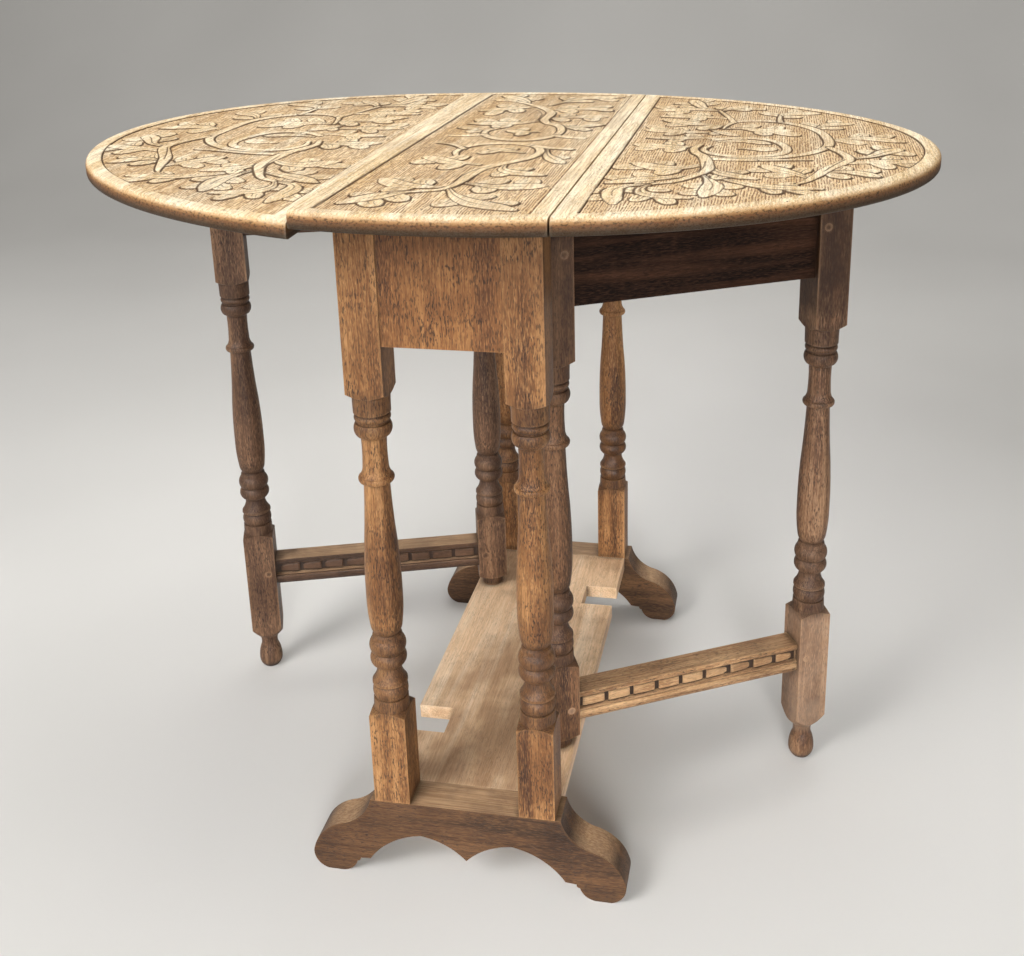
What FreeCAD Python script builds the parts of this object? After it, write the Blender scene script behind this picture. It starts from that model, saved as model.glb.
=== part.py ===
# Drop-leaf gate-leg table: an oval top in three boards on a narrow trestle frame,
# with two swinging gates that hold up the leaves.
# Millimetres, +Z up. The origin is on the floor under the middle of the top,
# X runs across the leaves, Y along the hinge seams, and the front is at -Y.
import FreeCAD
import Part
import Sketcher
import math
import os

SIZES = {
    # oval top in three boards
    "top_height": 710.0,
    "top_thickness": 16.0,
    "oval_length": 872.0,
    "oval_width": 684.0,
    "centre_width": 216.0,
    "seam_gap": 1.8,
    "upper_edge_round": 6.0,
    "lower_edge_round": 4.0,
    # carved panels: the ground is sunk inside a plain border, and the foliage stands up from it
    "carving_depth": 1.5,
    "carving_border": 15.5,
    "centre_panel_width": 182.0,
    "leaf_panel_set_in": 18.6,
    # the left leaf hangs low at its front hinge and is propped up at its outer edge
    "leaf_sag": 9.0,
    "leaf_rise": 6.5,
    # turned legs
    "leg_width": 36.0,
    "leg_spread": 147.0,
    "leg_distance": 512.0,
    "upper_block": 167.0,
    "lower_block": 100.0,
    "leg_tenon_radius": 9.0,
    "leg_tenon_length": 30.0,
    # end aprons and the long bearers between them
    "apron_depth": 119.0,
    "apron_thickness": 20.0,
    "apron_set_back": 1.0,
    "tenon_thickness": 10.0,
    "tenon_shoulder": 9.0,
    "bearer_depth": 80.0,
    "bearer_thickness": 20.0,
    "bearer_clearance": 4.0,
    "corner_block_side": 24.0,
    "corner_block_height": 30.0,
    # sledge feet and the shelf between them
    "foot_height": 91.0,
    "foot_span": 324.0,
    "foot_thickness": 36.0,
    "shelf_thickness": 16.0,
    "shelf_dowel_radius": 4.0,
    "shelf_dowel_reach": 22.0,
    "shelf_dowel_distance": 90.0,
    "notch_clearance": 3.5,
    # gates
    "pivot_offset": 155.0,
    "gate_length": 294.0,
    "right_gate_angle": 28.8,
    "left_gate_angle": 18.8,
    "gate_set_down": 7.2,
    "gate_rail_depth": 106.0,
    "gate_rail_thickness": 22.0,
    "rail_haunch": 20.0,
    "stretcher_bottom": 122.0,
    "stretcher_height": 34.0,
    "stretcher_thickness": 26.0,
    "bun_foot_height": 55.0,
    "post_stub_height": 14.0,
    "pivot_radius": 6.0,
    "pivot_seat": 24.0,
    "pivot_reach": 9.0,
    "peg_radius": 4.0,
    "leaf_pad_side": 40.0,
    # hinges under the seams
    "hinge_offset": 210.0,
    "hinge_length": 40.0,
    "hinge_plate_width": 30.0,
    "hinge_plate_thickness": 2.0,
    "knuckle_radius": 3.0,
    "hinge_pin_radius": 1.5,
    "hinge_screw_spread": 22.0,
    # screws
    "screw_radius": 1.7,
    "screw_head_radius": 3.2,
    "screw_bite": 9.0,
    # fits
    "fit_gap": 0.05,
    "running_gap": 0.3,
    "tenon_gap": 0.2,
    "overrun": 5.0,
}

# Outline of half a sledge foot, from the flat top round the toe to the middle of the arches:
# share of half the span, share of the height, and the bulge of the stretch to the next point
# as a share of the height, positive outwards from the wood.
foot_outline_shares = [
    (0.599, 1.000, -0.060),
    (0.772, 0.650, 0.075),
    (0.990, 0.280, 0.070),
    (0.907, 0.000, 0.0),
    (0.809, 0.000, 0.035),
    (0.712, 0.150, 0.015),
    (0.692, 0.192, 0.0),
    (0.623, 0.205, -0.075),
    (0.290, 0.588, -0.055),
    (0.000, 0.324, 0.0),
]

# Turned stretch of every leg, from the lower block up to the upper block:
# share of the turned length, share of half the leg's width, and the bulge of the stretch
# to the next row as a share of half the width, positive for a bead and negative for a hollow.
turning_shares = [
    (-0.0060, 1.500, 0.0),
    (0.0090, 0.975, 0.0),
    (0.0440, 0.945, 0.0),
    (0.0465, 0.860, 0.0),
    (0.0500, 0.880, 0.130),
    (0.0910, 0.780, 0.0),
    (0.0935, 0.960, 0.0),
    (0.1010, 0.950, -0.060),
    (0.1400, 0.655, 0.0),
    (0.1475, 0.655, 0.0),
    (0.1500, 0.760, 0.190),
    (0.1935, 0.830, 0.165),
    (0.2395, 0.820, 0.0),
    (0.2500, 0.790, 0.0),
    (0.2560, 0.670, 0.040),
    (0.2830, 0.860, 0.035),
    (0.3780, 0.970, 0.028),
    (0.5360, 0.885, -0.025),
    (0.7240, 0.675, -0.010),
    (0.7330, 0.690, 0.0),
    (0.7345, 0.880, 0.040),
    (0.7490, 0.900, 0.0),
    (0.7510, 0.840, -0.045),
    (0.7810, 0.670, -0.025),
    (0.8640, 0.660, -0.020),
    (0.8730, 0.860, 0.100),
    (0.9080, 0.910, 0.0),
    (0.9100, 0.830, 0.0),
    (0.9150, 0.830, 0.100),
    (0.9340, 0.850, 0.0),
    (0.9370, 0.830, 0.0),
    (0.9400, 0.960, 0.0),
    (0.9890, 0.980, 0.0),
    (1.0060, 1.500, 0.0),
]

# Turned foot under a gate's outer leg, from the floor up: shares as above, of its height.
bun_foot_shares = [
    (-0.080, 1.500, 0.0),
    (-0.080, 0.560, 0.0),
    (0.000, 0.560, 0.060),
    (0.200, 0.800, 0.060),
    (0.560, 0.580, -0.030),
    (0.740, 0.600, -0.050),
    (0.830, 0.800, 0.030),
    (1.130, 1.500, 0.0),
]

# Turned stub under a gate's pivot post, from the shelf up: shares as above, of its height.
post_stub_shares = [
    (-0.200, 1.500, 0.0),
    (-0.200, 0.700, 0.0),
    (0.700, 0.700, 0.0),
    (1.250, 1.500, 0.0),
]

# Half the moulded section of a gate's stretcher: share of half the thickness, of the height.
stretcher_section_shares = [
    (0.86, 0.00),
    (1.00, 0.08),
    (1.00, 0.26),
    (0.90, 0.30),
    (0.98, 0.36),
    (0.80, 0.40),
    (0.70, 0.42),
    (0.70, 0.78),
    (0.92, 0.80),
    (0.92, 0.85),
    (1.00, 0.88),
    (1.00, 1.00),
]

# One draw-bore peg is this share of a leg's half width away from the leg's axis.
peg_place_share = 0.5
# A hinge's middle knuckle takes this share of its length.
middle_knuckle_share = 0.36

# carved foliage as ovals: place across and along, half length and half width, and slant in degrees;
# places across are shares of the oval's length, the rest shares of its width
leaf_foliage_shares = (
    (0.236, -0.109, 0.089, 0.008, -81),
    (0.223, -0.235, 0.064, 0.007, 60),
    (0.387, -0.061, 0.047, 0.007, -73),
    (0.368, -0.181, 0.096, 0.008, 68),
    (0.302, -0.115, 0.070, 0.005, 2),
    (0.249, 0.243, 0.061, 0.004, -76),
    (0.319, 0.222, 0.030, 0.004, -89),
    (0.180, -0.026, 0.042, 0.015, -13),
    (0.199, -0.030, 0.043, 0.013, -86),
    (0.196, -0.168, 0.049, 0.016, -15),
    (0.178, -0.170, 0.046, 0.015, 29),
    (0.181, -0.267, 0.051, 0.014, 28),
    (0.166, -0.240, 0.032, 0.012, 31),
    (0.170, -0.352, 0.055, 0.014, 89),
    (0.164, -0.333, 0.038, 0.012, 8),
    (0.214, -0.341, 0.046, 0.012, -32),
    (0.201, -0.349, 0.039, 0.011, 64),
    (0.253, -0.306, 0.053, 0.014, 89),
    (0.258, -0.292, 0.038, 0.013, 0),
    (0.322, -0.279, 0.064, 0.013, -16),
    (0.327, -0.295, 0.036, 0.011, 67),
    (0.277, -0.219, 0.045, 0.013, -39),
    (0.272, -0.222, 0.035, 0.011, 54),
    (0.322, -0.182, 0.042, 0.014, -48),
    (0.312, -0.172, 0.037, 0.012, 40),
    (0.404, -0.201, 0.034, 0.013, -32),
    (0.388, -0.192, 0.041, 0.011, 86),
    (0.439, -0.117, 0.048, 0.013, 6),
    (0.439, -0.116, 0.045, 0.012, 82),
    (0.438, -0.050, 0.045, 0.014, 52),
    (0.438, -0.049, 0.042, 0.012, -15),
    (0.432, 0.047, 0.047, 0.014, -17),
    (0.414, 0.056, 0.046, 0.012, 83),
    (0.390, 0.177, 0.032, 0.013, 28),
    (0.371, 0.164, 0.041, 0.011, -40),
    (0.345, 0.279, 0.038, 0.013, 16),
    (0.320, 0.264, 0.040, 0.012, -34),
    (0.259, 0.335, 0.032, 0.012, 49),
    (0.254, 0.325, 0.035, 0.011, -27),
    (0.205, 0.375, 0.055, 0.013, -72),
    (0.202, 0.381, 0.041, 0.012, 7),
    (0.188, 0.304, 0.048, 0.013, 9),
    (0.188, 0.315, 0.042, 0.012, -89),
    (0.198, 0.234, 0.050, 0.014, -1),
    (0.214, 0.236, 0.041, 0.012, 83),
    (0.201, 0.179, 0.051, 0.015, -27),
    (0.216, 0.157, 0.047, 0.013, -68),
    (0.185, 0.097, 0.045, 0.013, -11),
    (0.193, 0.095, 0.038, 0.011, 78),
    (0.195, 0.039, 0.045, 0.012, 6),
    (0.205, 0.040, 0.039, 0.011, 67),
    (0.303, 0.123, 0.046, 0.014, -9),
    (0.302, 0.153, 0.030, 0.012, -16),
    (0.289, 0.013, 0.034, 0.011, -21),
    (0.282, 0.029, 0.021, 0.009, -52),
    (0.302, -0.038, 0.022, 0.015, 5),
    (0.256, 0.084, 0.031, 0.010, -45),
    (0.247, 0.082, 0.015, 0.008, 26),
)
centre_foliage_shares = (
    (0.026, -0.198, 0.063, 0.008, 66),
    (0.003, -0.289, 0.058, 0.009, 85),
    (-0.024, -0.357, 0.039, 0.004, 35),
    (-0.027, 0.328, 0.086, 0.007, -51),
    (0.017, 0.220, 0.055, 0.009, -85),
    (0.035, 0.142, 0.046, 0.007, -63),
    (0.064, -0.059, 0.031, 0.006, -18),
    (-0.055, -0.058, 0.034, 0.004, -41),
    (0.069, 0.032, 0.026, 0.006, -18),
    (-0.054, 0.034, 0.028, 0.004, 12),
    (0.076, -0.135, 0.045, 0.011, -62),
    (0.077, -0.126, 0.019, 0.009, -11),
    (0.057, -0.234, 0.043, 0.013, -28),
    (0.047, -0.233, 0.036, 0.012, 57),
    (0.065, -0.318, 0.044, 0.016, 10),
    (0.041, -0.319, 0.043, 0.015, 83),
    (0.050, -0.413, 0.063, 0.016, -36),
    (0.030, -0.404, 0.043, 0.014, 47),
    (-0.052, -0.315, 0.047, 0.016, -32),
    (-0.044, -0.297, 0.029, 0.015, -16),
    (-0.061, -0.403, 0.052, 0.016, 48),
    (-0.054, -0.398, 0.043, 0.015, -20),
    (-0.041, -0.162, 0.047, 0.015, -31),
    (-0.027, -0.177, 0.050, 0.013, 89),
    (0.010, -0.083, 0.029, 0.011, -25),
    (0.005, -0.086, 0.035, 0.010, 50),
    (0.078, 0.131, 0.034, 0.013, 34),
    (0.067, 0.117, 0.037, 0.011, -50),
    (0.001, 0.073, 0.024, 0.011, -18),
    (0.007, 0.069, 0.033, 0.010, -86),
    (-0.038, 0.147, 0.053, 0.016, 11),
    (-0.030, 0.147, 0.047, 0.015, -88),
    (0.068, 0.294, 0.041, 0.014, -19),
    (0.036, 0.301, 0.041, 0.013, -80),
    (0.070, 0.220, 0.034, 0.014, 9),
    (0.041, 0.213, 0.043, 0.012, -87),
    (0.057, 0.425, 0.055, 0.014, 26),
    (0.029, 0.413, 0.044, 0.013, -42),
    (-0.056, 0.289, 0.047, 0.015, 31),
    (-0.047, 0.298, 0.048, 0.013, -58),
    (-0.060, 0.415, 0.049, 0.014, -48),
    (-0.052, 0.406, 0.044, 0.012, 20),
    (-0.065, 0.092, 0.025, 0.011, -30),
    (-0.059, 0.078, 0.022, 0.009, -72),
)

# carved scroll rings: as the ovals, and then the width of the band
leaf_ring_shares = (
    (0.311, 0.045, 0.168, 0.093, 90, 0.0146),
    (0.283, -0.023, 0.079, 0.067, 90, 0.0130),
)
centre_ring_shares = (
    (0.007, -0.083, 0.068, 0.067, 0, 0.0130),
    (0.007, 0.067, 0.072, 0.067, 90, 0.0130),
)

UP = FreeCAD.Vector(0, 0, 1)
ALONG_X = FreeCAD.Vector(1, 0, 0)
ALONG_Y = FreeCAD.Vector(0, 1, 0)
SIDES = ((-1, "left"), (1, "right"))
ENDS = ((-1, "front"), (1, "rear"))
CORNERS = ((-1, -1), (-1, 1), (1, -1), (1, 1))

# top and hinges
UNDERSIDE = "(Sizes.top_height - Sizes.top_thickness)"
GROUND = "(Sizes.top_height - Sizes.carving_depth)"
SEAM_X = "Sizes.centre_width / 2"
SEAM_EDGE = "(Sizes.centre_width / 2 + Sizes.seam_gap / 2)"
SEAM_END = "(Sizes.oval_width / 2 * sqrt(1 - pow(Sizes.centre_width / Sizes.oval_length; 2)))"
LEAF_PANEL = f"({SEAM_EDGE} + Sizes.leaf_panel_set_in)"
PLATE_START = "(Sizes.knuckle_radius + Sizes.running_gap)"
PLATE_LOW = f"({UNDERSIDE} - Sizes.hinge_plate_thickness)"
PIN_BORE = "Sizes.hinge_pin_radius + Sizes.fit_gap"
HINGE_FAR = f"({SEAM_END} + Sizes.hinge_offset + Sizes.hinge_length / 2)"
LEFT_DROP = f"(Sizes.leaf_sag * {HINGE_FAR} / (2 * {SEAM_END}))"

# legs and the frame between them
HALF_LEG = "Sizes.leg_width / 2"
LEG_X = "Sizes.leg_spread / 2"
LEG_Y = "Sizes.leg_distance / 2"
BLOCK_TOP = "(Sizes.foot_height + Sizes.lower_block)"
TURNED_LENGTH = f"({UNDERSIDE} - Sizes.upper_block - {BLOCK_TOP})"
TENON_LENGTH = "(Sizes.leg_width / 2 - Sizes.tenon_gap)"
APRON_TENON = "(Sizes.apron_depth - 2 * Sizes.tenon_shoulder)"
APRON_TENON_LOW = f"({UNDERSIDE} - Sizes.apron_depth + Sizes.tenon_shoulder)"
APRON_MIDDLE = "(Sizes.leg_width / 2 - Sizes.apron_set_back - Sizes.apron_thickness / 2)"
APRON_LENGTH = "(Sizes.leg_spread - Sizes.leg_width)"
APRON_BACK = f"({LEG_Y} + {APRON_MIDDLE} - Sizes.apron_thickness / 2)"
BEARER_X = "(Sizes.leg_spread / 2 - Sizes.leg_width / sqrt(2) - Sizes.bearer_clearance)"
BLOCK_LOW = f"({UNDERSIDE} - Sizes.corner_block_height)"

# shelf
SHELF_BOTTOM = "(Sizes.foot_height - Sizes.shelf_thickness)"
SHELF_END = "(Sizes.leg_distance / 2 - Sizes.foot_thickness / 2)"
SHELF_EDGE = "(Sizes.leg_spread / 2 + Sizes.leg_width / 2)"
DOWEL_X = "Sizes.shelf_dowel_distance / 2"
DOWEL_Z = "(Sizes.foot_height - Sizes.shelf_thickness / 2)"
NOTCH_X = "(Sizes.leg_spread / 2 - Sizes.leg_width / 2 - Sizes.notch_clearance)"
NOTCH_DEPTH = "(Sizes.leg_width + Sizes.notch_clearance + Sizes.overrun)"
NOTCH_LENGTH = "(Sizes.leg_width + 2 * Sizes.notch_clearance)"

# gates
GATE_TOP = f"({UNDERSIDE} - Sizes.gate_set_down)"
POST_BOTTOM = "(Sizes.foot_height + Sizes.running_gap)"
POST_TOP = f"({UNDERSIDE} - Sizes.running_gap)"
RAIL_BOTTOM = f"({GATE_TOP} - Sizes.gate_rail_depth)"
RAIL_TENON = "(Sizes.gate_rail_depth - Sizes.tenon_shoulder - Sizes.rail_haunch)"
RAIL_TENON_LOW = f"({RAIL_BOTTOM} + Sizes.tenon_shoulder)"
STRETCHER_TENON = "(Sizes.stretcher_height - Sizes.tenon_shoulder)"
STRETCHER_TENON_LOW = "(Sizes.stretcher_bottom + Sizes.tenon_shoulder / 2)"
CLEAR_LENGTH = "(Sizes.gate_length - Sizes.leg_width)"
PEG_PLACE = f"{peg_place_share} * Sizes.leg_width / 2"
STRETCHER_MIDDLE = "(Sizes.stretcher_bottom + Sizes.stretcher_height / 2)"
PEG_HEIGHTS = (f"({RAIL_BOTTOM} + Sizes.gate_rail_depth / 2)", STRETCHER_MIDDLE)
LOWER_DOWEL = "Sizes.shelf_thickness + Sizes.running_gap + Sizes.pivot_seat"
UPPER_DOWEL = "Sizes.pivot_seat + Sizes.pivot_reach"
UPPER_DOWEL_LOW = f"{POST_TOP} - Sizes.pivot_seat"

doc = FreeCAD.newDocument("gate_leg_table")
sheet = doc.addObject("Spreadsheet::Sheet", "Sizes")
for row, (alias, length) in enumerate(SIZES.items(), start=1):
    sheet.set(f"A{row}", alias.replace("_", " "))
    sheet.set(f"B{row}", str(length))
    sheet.setAlias(f"B{row}", alias)
doc.recompute()

parts = []


def number(text):
    """The value of an expression on the sheet's sizes."""
    return float(sheet.evalExpression(text))


def keep(item, label):
    """Names a finished sub-part and puts it on the list of pieces to write."""
    item.Label = label
    parts.append(item)
    return item


def place(item, x, y, z):
    for axis, text in zip("xyz", (x, y, z)):
        item.setExpression(f"Placement.Base.{axis}", text)
    return item


def box(name, low, sides):
    """A block from its low corner and its three sides."""
    item = doc.addObject("Part::Box", name)
    for side, text in zip(("Length", "Width", "Height"), sides):
        item.setExpression(side, text)
    return place(item, *low)


def cylinder(name, start, radius, length, direction=UP):
    item = doc.addObject("Part::Cylinder", name)
    item.setExpression("Radius", radius)
    item.setExpression("Height", length)
    item.Placement = FreeCAD.Placement(FreeCAD.Vector(), FreeCAD.Rotation(UP, direction))
    return place(item, *start)


def fuse(name, pieces):
    item = doc.addObject("Part::MultiFuse", name)
    item.Shapes = pieces
    return item


def group(name, pieces):
    item = doc.addObject("Part::Compound", name)
    item.Links = pieces
    return item


def cut(name, base, tools):
    item = doc.addObject("Part::Cut", name)
    item.Base = base
    item.Tool = group(name + "_cuts", tools)
    return item


def on_plane(body, name, role, lift):
    """An empty sketch on one of the body's origin planes, or lifted off it."""
    sketch = body.newObject("Sketcher::SketchObject", name)
    plane = next(f for f in body.Origin.OriginFeatures if f.Role == role)
    sketch.AttachmentSupport = [(plane, "")]
    sketch.MapMode = "FlatFace"
    sketch.setExpression("AttachmentOffset.Base.z", lift)
    return sketch


def measures(curve, end, x, y):
    """The two dimensions that hold one point of a sketch, each with the text it is bound to."""
    found = []
    for kind, axis, text in (("DistanceX", -2, x), ("DistanceY", -1, y)):
        if number(text) == 0:
            found.append((Sketcher.Constraint("PointOnObject", curve, end, axis), None))
        else:
            found.append((Sketcher.Constraint(kind, -1, 1, curve, end, number(text)), text))
    return found


def constrain(sketch, dimensions):
    """Adds the dimensions in one go and binds each to its text."""
    indices = sketch.addConstraint([constraint for constraint, text in dimensions])
    for index, (constraint, text) in zip(indices, dimensions):
        if text:
            sketch.setExpression(f"Constraints[{index}]", text)


def arc_middle(curve, point, follow):
    """The dimension that holds an arc's centre, along the axis on which it lies further from the chord."""
    across = f"({follow[0]} - ({point[0]}))"
    along = f"({follow[1]} - ({point[1]}))"
    chord = f"sqrt(pow({across}; 2) + pow({along}; 2))"
    set_back = f"{point[3]} * ({point[2]} / (2 * {chord}) - {chord} / (8 * {point[2]}))"
    if abs(number(across)) < abs(number(along)):
        text = f"({point[0]} + {follow[0]}) / 2 - {along} * {set_back}"
        return Sketcher.Constraint("DistanceX", -1, 1, curve, 3, number(text)), text
    text = f"({point[1]} + {follow[1]}) / 2 + {across} * {set_back}"
    return Sketcher.Constraint("DistanceY", -1, 1, curve, 3, number(text)), text


def outline(body, name, role, points, lift="0"):
    """A closed sketch on one of the body's origin planes, every point bound to the sheet.

    A point is its two places and, where the stretch to the next point is an arc,
    the arc's bulge: a text for its height and the side of the travel it is on, 1 for left.
    """
    sketch = on_plane(body, name, role, lift)
    spots = [FreeCAD.Vector(number(p[0]), number(p[1]), 0) for p in points]
    count = len(points)
    curves = []
    for i, point in enumerate(points):
        start, end = spots[i], spots[(i + 1) % count]
        if len(point) == 2:
            curves.append(Part.LineSegment(start, end))
            continue
        travel = (end - start).normalize()
        left = FreeCAD.Vector(-travel.y, travel.x, 0)
        middle = (start + end) / 2 + left * number(point[2]) * point[3]
        curves.append(Part.Arc(end, middle, start) if point[3] > 0 else Part.Arc(start, middle, end))
    sketch.addGeometry(curves, False)
    heads = []
    for curve, spot in zip(sketch.Geometry, spots):
        runs_forward = curve.StartPoint.distanceToPoint(spot) < curve.EndPoint.distanceToPoint(spot)
        heads.append(1 if runs_forward else 2)
    dimensions = []
    for i, point in enumerate(points):
        follow = (i + 1) % count
        joint = Sketcher.Constraint("Coincident", i, 3 - heads[i], follow, heads[follow])
        dimensions.append((joint, None))
        dimensions += measures(i, heads[i], point[0], point[1])
        if len(point) == 4:
            dimensions.append(arc_middle(i, point, points[follow]))
    constrain(sketch, dimensions)
    return sketch


def circle(body, name, role, x, y, radius, lift="0"):
    """A sketch of one circle on one of the body's origin planes."""
    sketch = on_plane(body, name, role, lift)
    middle = FreeCAD.Vector(number(x), number(y), 0)
    sketch.addGeometry(Part.Circle(middle, UP, number(radius)), False)
    constrain(sketch, measures(0, 3, x, y) + [(Sketcher.Constraint("Radius", 0, number(radius)), radius)])
    return sketch


def pad(body, name, sketch, length, backwards=False, both_ways=False):
    feature = body.newObject("PartDesign::Pad", name)
    feature.Profile = sketch
    feature.setExpression("Length", length)
    feature.Reversed = backwards
    if both_ways:
        feature.SideType = "Symmetric"
    doc.recompute()
    return feature


def pocket(body, name, sketch, length, backwards=False, both_ways=False):
    """A cut that has to take wood away."""
    before = body.Shape.Volume
    feature = body.newObject("PartDesign::Pocket", name)
    feature.Profile = sketch
    feature.setExpression("Length", length)
    feature.Reversed = backwards
    if both_ways:
        feature.SideType = "Symmetric"
    doc.recompute()
    if not body.Shape.Volume < before:
        raise ValueError(f"{body.Label}: {name} cuts nothing")
    return feature


def rectangle(low_x, low_y, high_x, high_y):
    return [(low_x, low_y), (high_x, low_y), (high_x, high_y), (low_x, high_y)]


def turn(body, name, shares, low, span):
    """Turns a stretch of square stock to the radii in the shares."""
    points = []
    for height, radius, bulge in shares:
        point = (f"{radius} * {HALF_LEG}", f"{low} + {height} * {span}")
        if bulge:
            point += (f"{abs(bulge)} * {HALF_LEG}", -1 if bulge > 0 else 1)
        points.append(point)
    before = body.Shape.Volume
    sketch = outline(body, name + "_outline", "XZ_Plane", points)
    groove = body.newObject("PartDesign::Groove", name)
    groove.Profile = sketch
    groove.ReferenceAxis = (sketch, ["V_Axis"])
    groove.Angle = 360
    doc.recompute()
    if not body.Shape.Volume < before:
        raise ValueError(f"{body.Label}: {name} cuts nothing")


def turned_stock(label, low, high):
    """Square stock about its own axis, turned between its upper and lower blocks."""
    body = doc.addObject("PartDesign::Body", label)
    square = rectangle(f"-{HALF_LEG}", f"-{HALF_LEG}", HALF_LEG, HALF_LEG)
    pad(body, "stock", outline(body, "stock_outline", "XY_Plane", square, low), f"{high} - {low}")
    turn(body, "turning", turning_shares, BLOCK_TOP, TURNED_LENGTH)
    return body


def mortise(body, name, low, height, towards, set_back="0"):
    """A slot from the leg's axis out through its face, for a tenon; towards is 1 for +X, -1 for -X."""
    half = "(Sizes.tenon_thickness / 2 + Sizes.tenon_gap)"
    bottom = f"{low} - Sizes.tenon_gap"
    top = f"{low} + {height} + Sizes.tenon_gap"
    slot = rectangle(f"{set_back} - {half}", bottom, f"{set_back} + {half}", top)
    sketch = outline(body, name + "_outline", "YZ_Plane", slot)
    pocket(body, name, sketch, "Sizes.leg_width", backwards=towards > 0)


# oval top
def oval(name, half_length, half_width, spot, slant=0):
    curve = doc.addObject("Part::Ellipse", name)
    curve.setExpression("MajorRadius", half_length)
    curve.setExpression("MinorRadius", half_width)
    curve.Placement = FreeCAD.Placement(FreeCAD.Vector(), FreeCAD.Rotation(UP, slant))
    return place(curve, *spot)


def upright(name, curve, height):
    """A solid that stands on a closed curve."""
    item = doc.addObject("Part::Extrusion", name)
    item.Base = curve
    item.DirMode = "Custom"
    item.Dir = UP
    item.Solid = True
    item.setExpression("LengthFwd", height)
    return item


def oval_slab():
    """The whole oval at its height, before it is sawn into three boards."""
    rim = oval("oval", "Sizes.oval_length / 2", "Sizes.oval_width / 2", ("0", "0", UNDERSIDE))
    return upright("oval_slab", rim, "Sizes.top_thickness")


def raised_oval(name, side, shares, narrower="0"):
    """One leaf or stem of the carving, as a column through the depth of the carving."""
    across, along, half_length, half_width, slant = shares[:5]
    x = f"{side} * {across} * Sizes.oval_length"
    spot = (x, f"{along} * Sizes.oval_width", f"{GROUND} - Sizes.overrun")
    longer = f"({half_length} - {narrower}) * Sizes.oval_width"
    shorter = f"({half_width} - {narrower}) * Sizes.oval_width"
    curve = oval(name + "_outline", longer, shorter, spot, side * slant)
    return upright(name, curve, "Sizes.carving_depth + 3 * Sizes.overrun")


def raised_ring(name, side, shares):
    """One scroll band of the carving."""
    whole = raised_oval(name + "_whole", side, shares)
    return cut(name, whole, [raised_oval(name + "_inside", side, shares, shares[5])])


def carved_ground(name, side, low_x, width, foliage, rings):
    """All that is carved away from a board inside its plain border, around the foliage."""
    deep = "Sizes.carving_depth + Sizes.overrun"
    longer = "Sizes.oval_length / 2 - Sizes.carving_border"
    shorter = "Sizes.oval_width / 2 - Sizes.carving_border"
    bed = upright(name + "_bed", oval(name + "_rim", longer, shorter, ("0", "0", GROUND)), deep)
    low = (low_x, "-Sizes.oval_width", GROUND)
    stretch = box(name + "_stretch", low, (width, "2 * Sizes.oval_width", deep))
    panel = doc.addObject("Part::Common", name + "_panel")
    panel.Base = bed
    panel.Tool = stretch
    raised = [raised_oval(f"{name}_leaf_{i}", side, row) for i, row in enumerate(foliage)]
    raised += [raised_ring(f"{name}_ring_{i}", side, row) for i, row in enumerate(rings)]
    return cut(name, panel, [fuse(name + "_foliage", raised)])


def board(name, low_x, width):
    """The stretch of the oval between two saw cuts, with the oval's edge rounded over."""
    low = (low_x, "-Sizes.oval_width", UNDERSIDE)
    saw = box(name + "_stretch", low, (width, "2 * Sizes.oval_width", "Sizes.top_thickness"))
    sawn = doc.addObject("Part::Common", name + "_sawn")
    sawn.Base = slab
    sawn.Tool = saw
    doc.recompute()
    rounds = []
    for index, edge in enumerate(sawn.Shape.Edges, start=1):
        if type(edge.Curve).__name__ == "Line":
            continue
        lower = edge.CenterOfMass.z < sawn.Shape.BoundBox.Center.z
        reach = number("Sizes.lower_edge_round" if lower else "Sizes.upper_edge_round")
        rounds.append((index, reach, reach))
    rounded = doc.addObject("Part::Fillet", name + "_blank")
    rounded.Base = sawn
    rounded.Edges = rounds
    return rounded


def left_leaf_tilt():
    """Placement of all that hangs with the left leaf: low at the front, raised at the outer edge."""
    droop = math.degrees(math.atan2(number("Sizes.leaf_sag"), number(f"2 * {SEAM_END}")))
    lift = math.degrees(math.atan2(number("Sizes.leaf_rise"), number(f"Sizes.oval_length / 2 - {SEAM_X}")))
    raised = FreeCAD.Rotation(ALONG_Y, lift)
    rotation = raised.multiply(FreeCAD.Rotation(ALONG_X, droop))
    rear_corner = FreeCAD.Vector(-number(SEAM_EDGE), number(SEAM_END), number(UNDERSIDE))
    return FreeCAD.Placement(FreeCAD.Vector(), rotation, rear_corner)


def screw(name, x, y, z, grip, gap="0"):
    """A countersunk screw driven upwards, its head flush at z, or with a gap, the hole for it."""
    head = doc.addObject("Part::Cone", name + "_head")
    head.setExpression("Radius1", f"Sizes.screw_head_radius + {gap}")
    head.setExpression("Radius2", f"Sizes.screw_radius + {gap}")
    head.setExpression("Height", "Sizes.hinge_plate_thickness")
    place(head, x, y, z)
    length = f"{grip} + Sizes.screw_bite + {gap}"
    shank = cylinder(name + "_shank", (x, y, z), f"Sizes.screw_radius + {gap}", length)
    return fuse(name, [head, shank])


def hinge_screw_places(side, end, on_leaf):
    """The two screws through one hinge plate, as texts for x and y."""
    way = 1 if on_leaf else -1
    x = f"{side} * ({SEAM_X} + {way} * ({PLATE_START} + Sizes.hinge_plate_width / 2))"
    middle = f"{end} * Sizes.hinge_offset"
    return [(x, f"{middle} + {step} * Sizes.hinge_screw_spread / 2") for step in (-1, 1)]


def plate_screws(name, side, on_leaf, gap):
    """The screws, or their holes, of both hinges' plates along one seam."""
    made = []
    for end in (-1, 1):
        for x, y in hinge_screw_places(side, end, on_leaf):
            made.append(screw(f"{name}_{len(made)}", x, y, PLATE_LOW, "Sizes.hinge_plate_thickness", gap))
    return made


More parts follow.
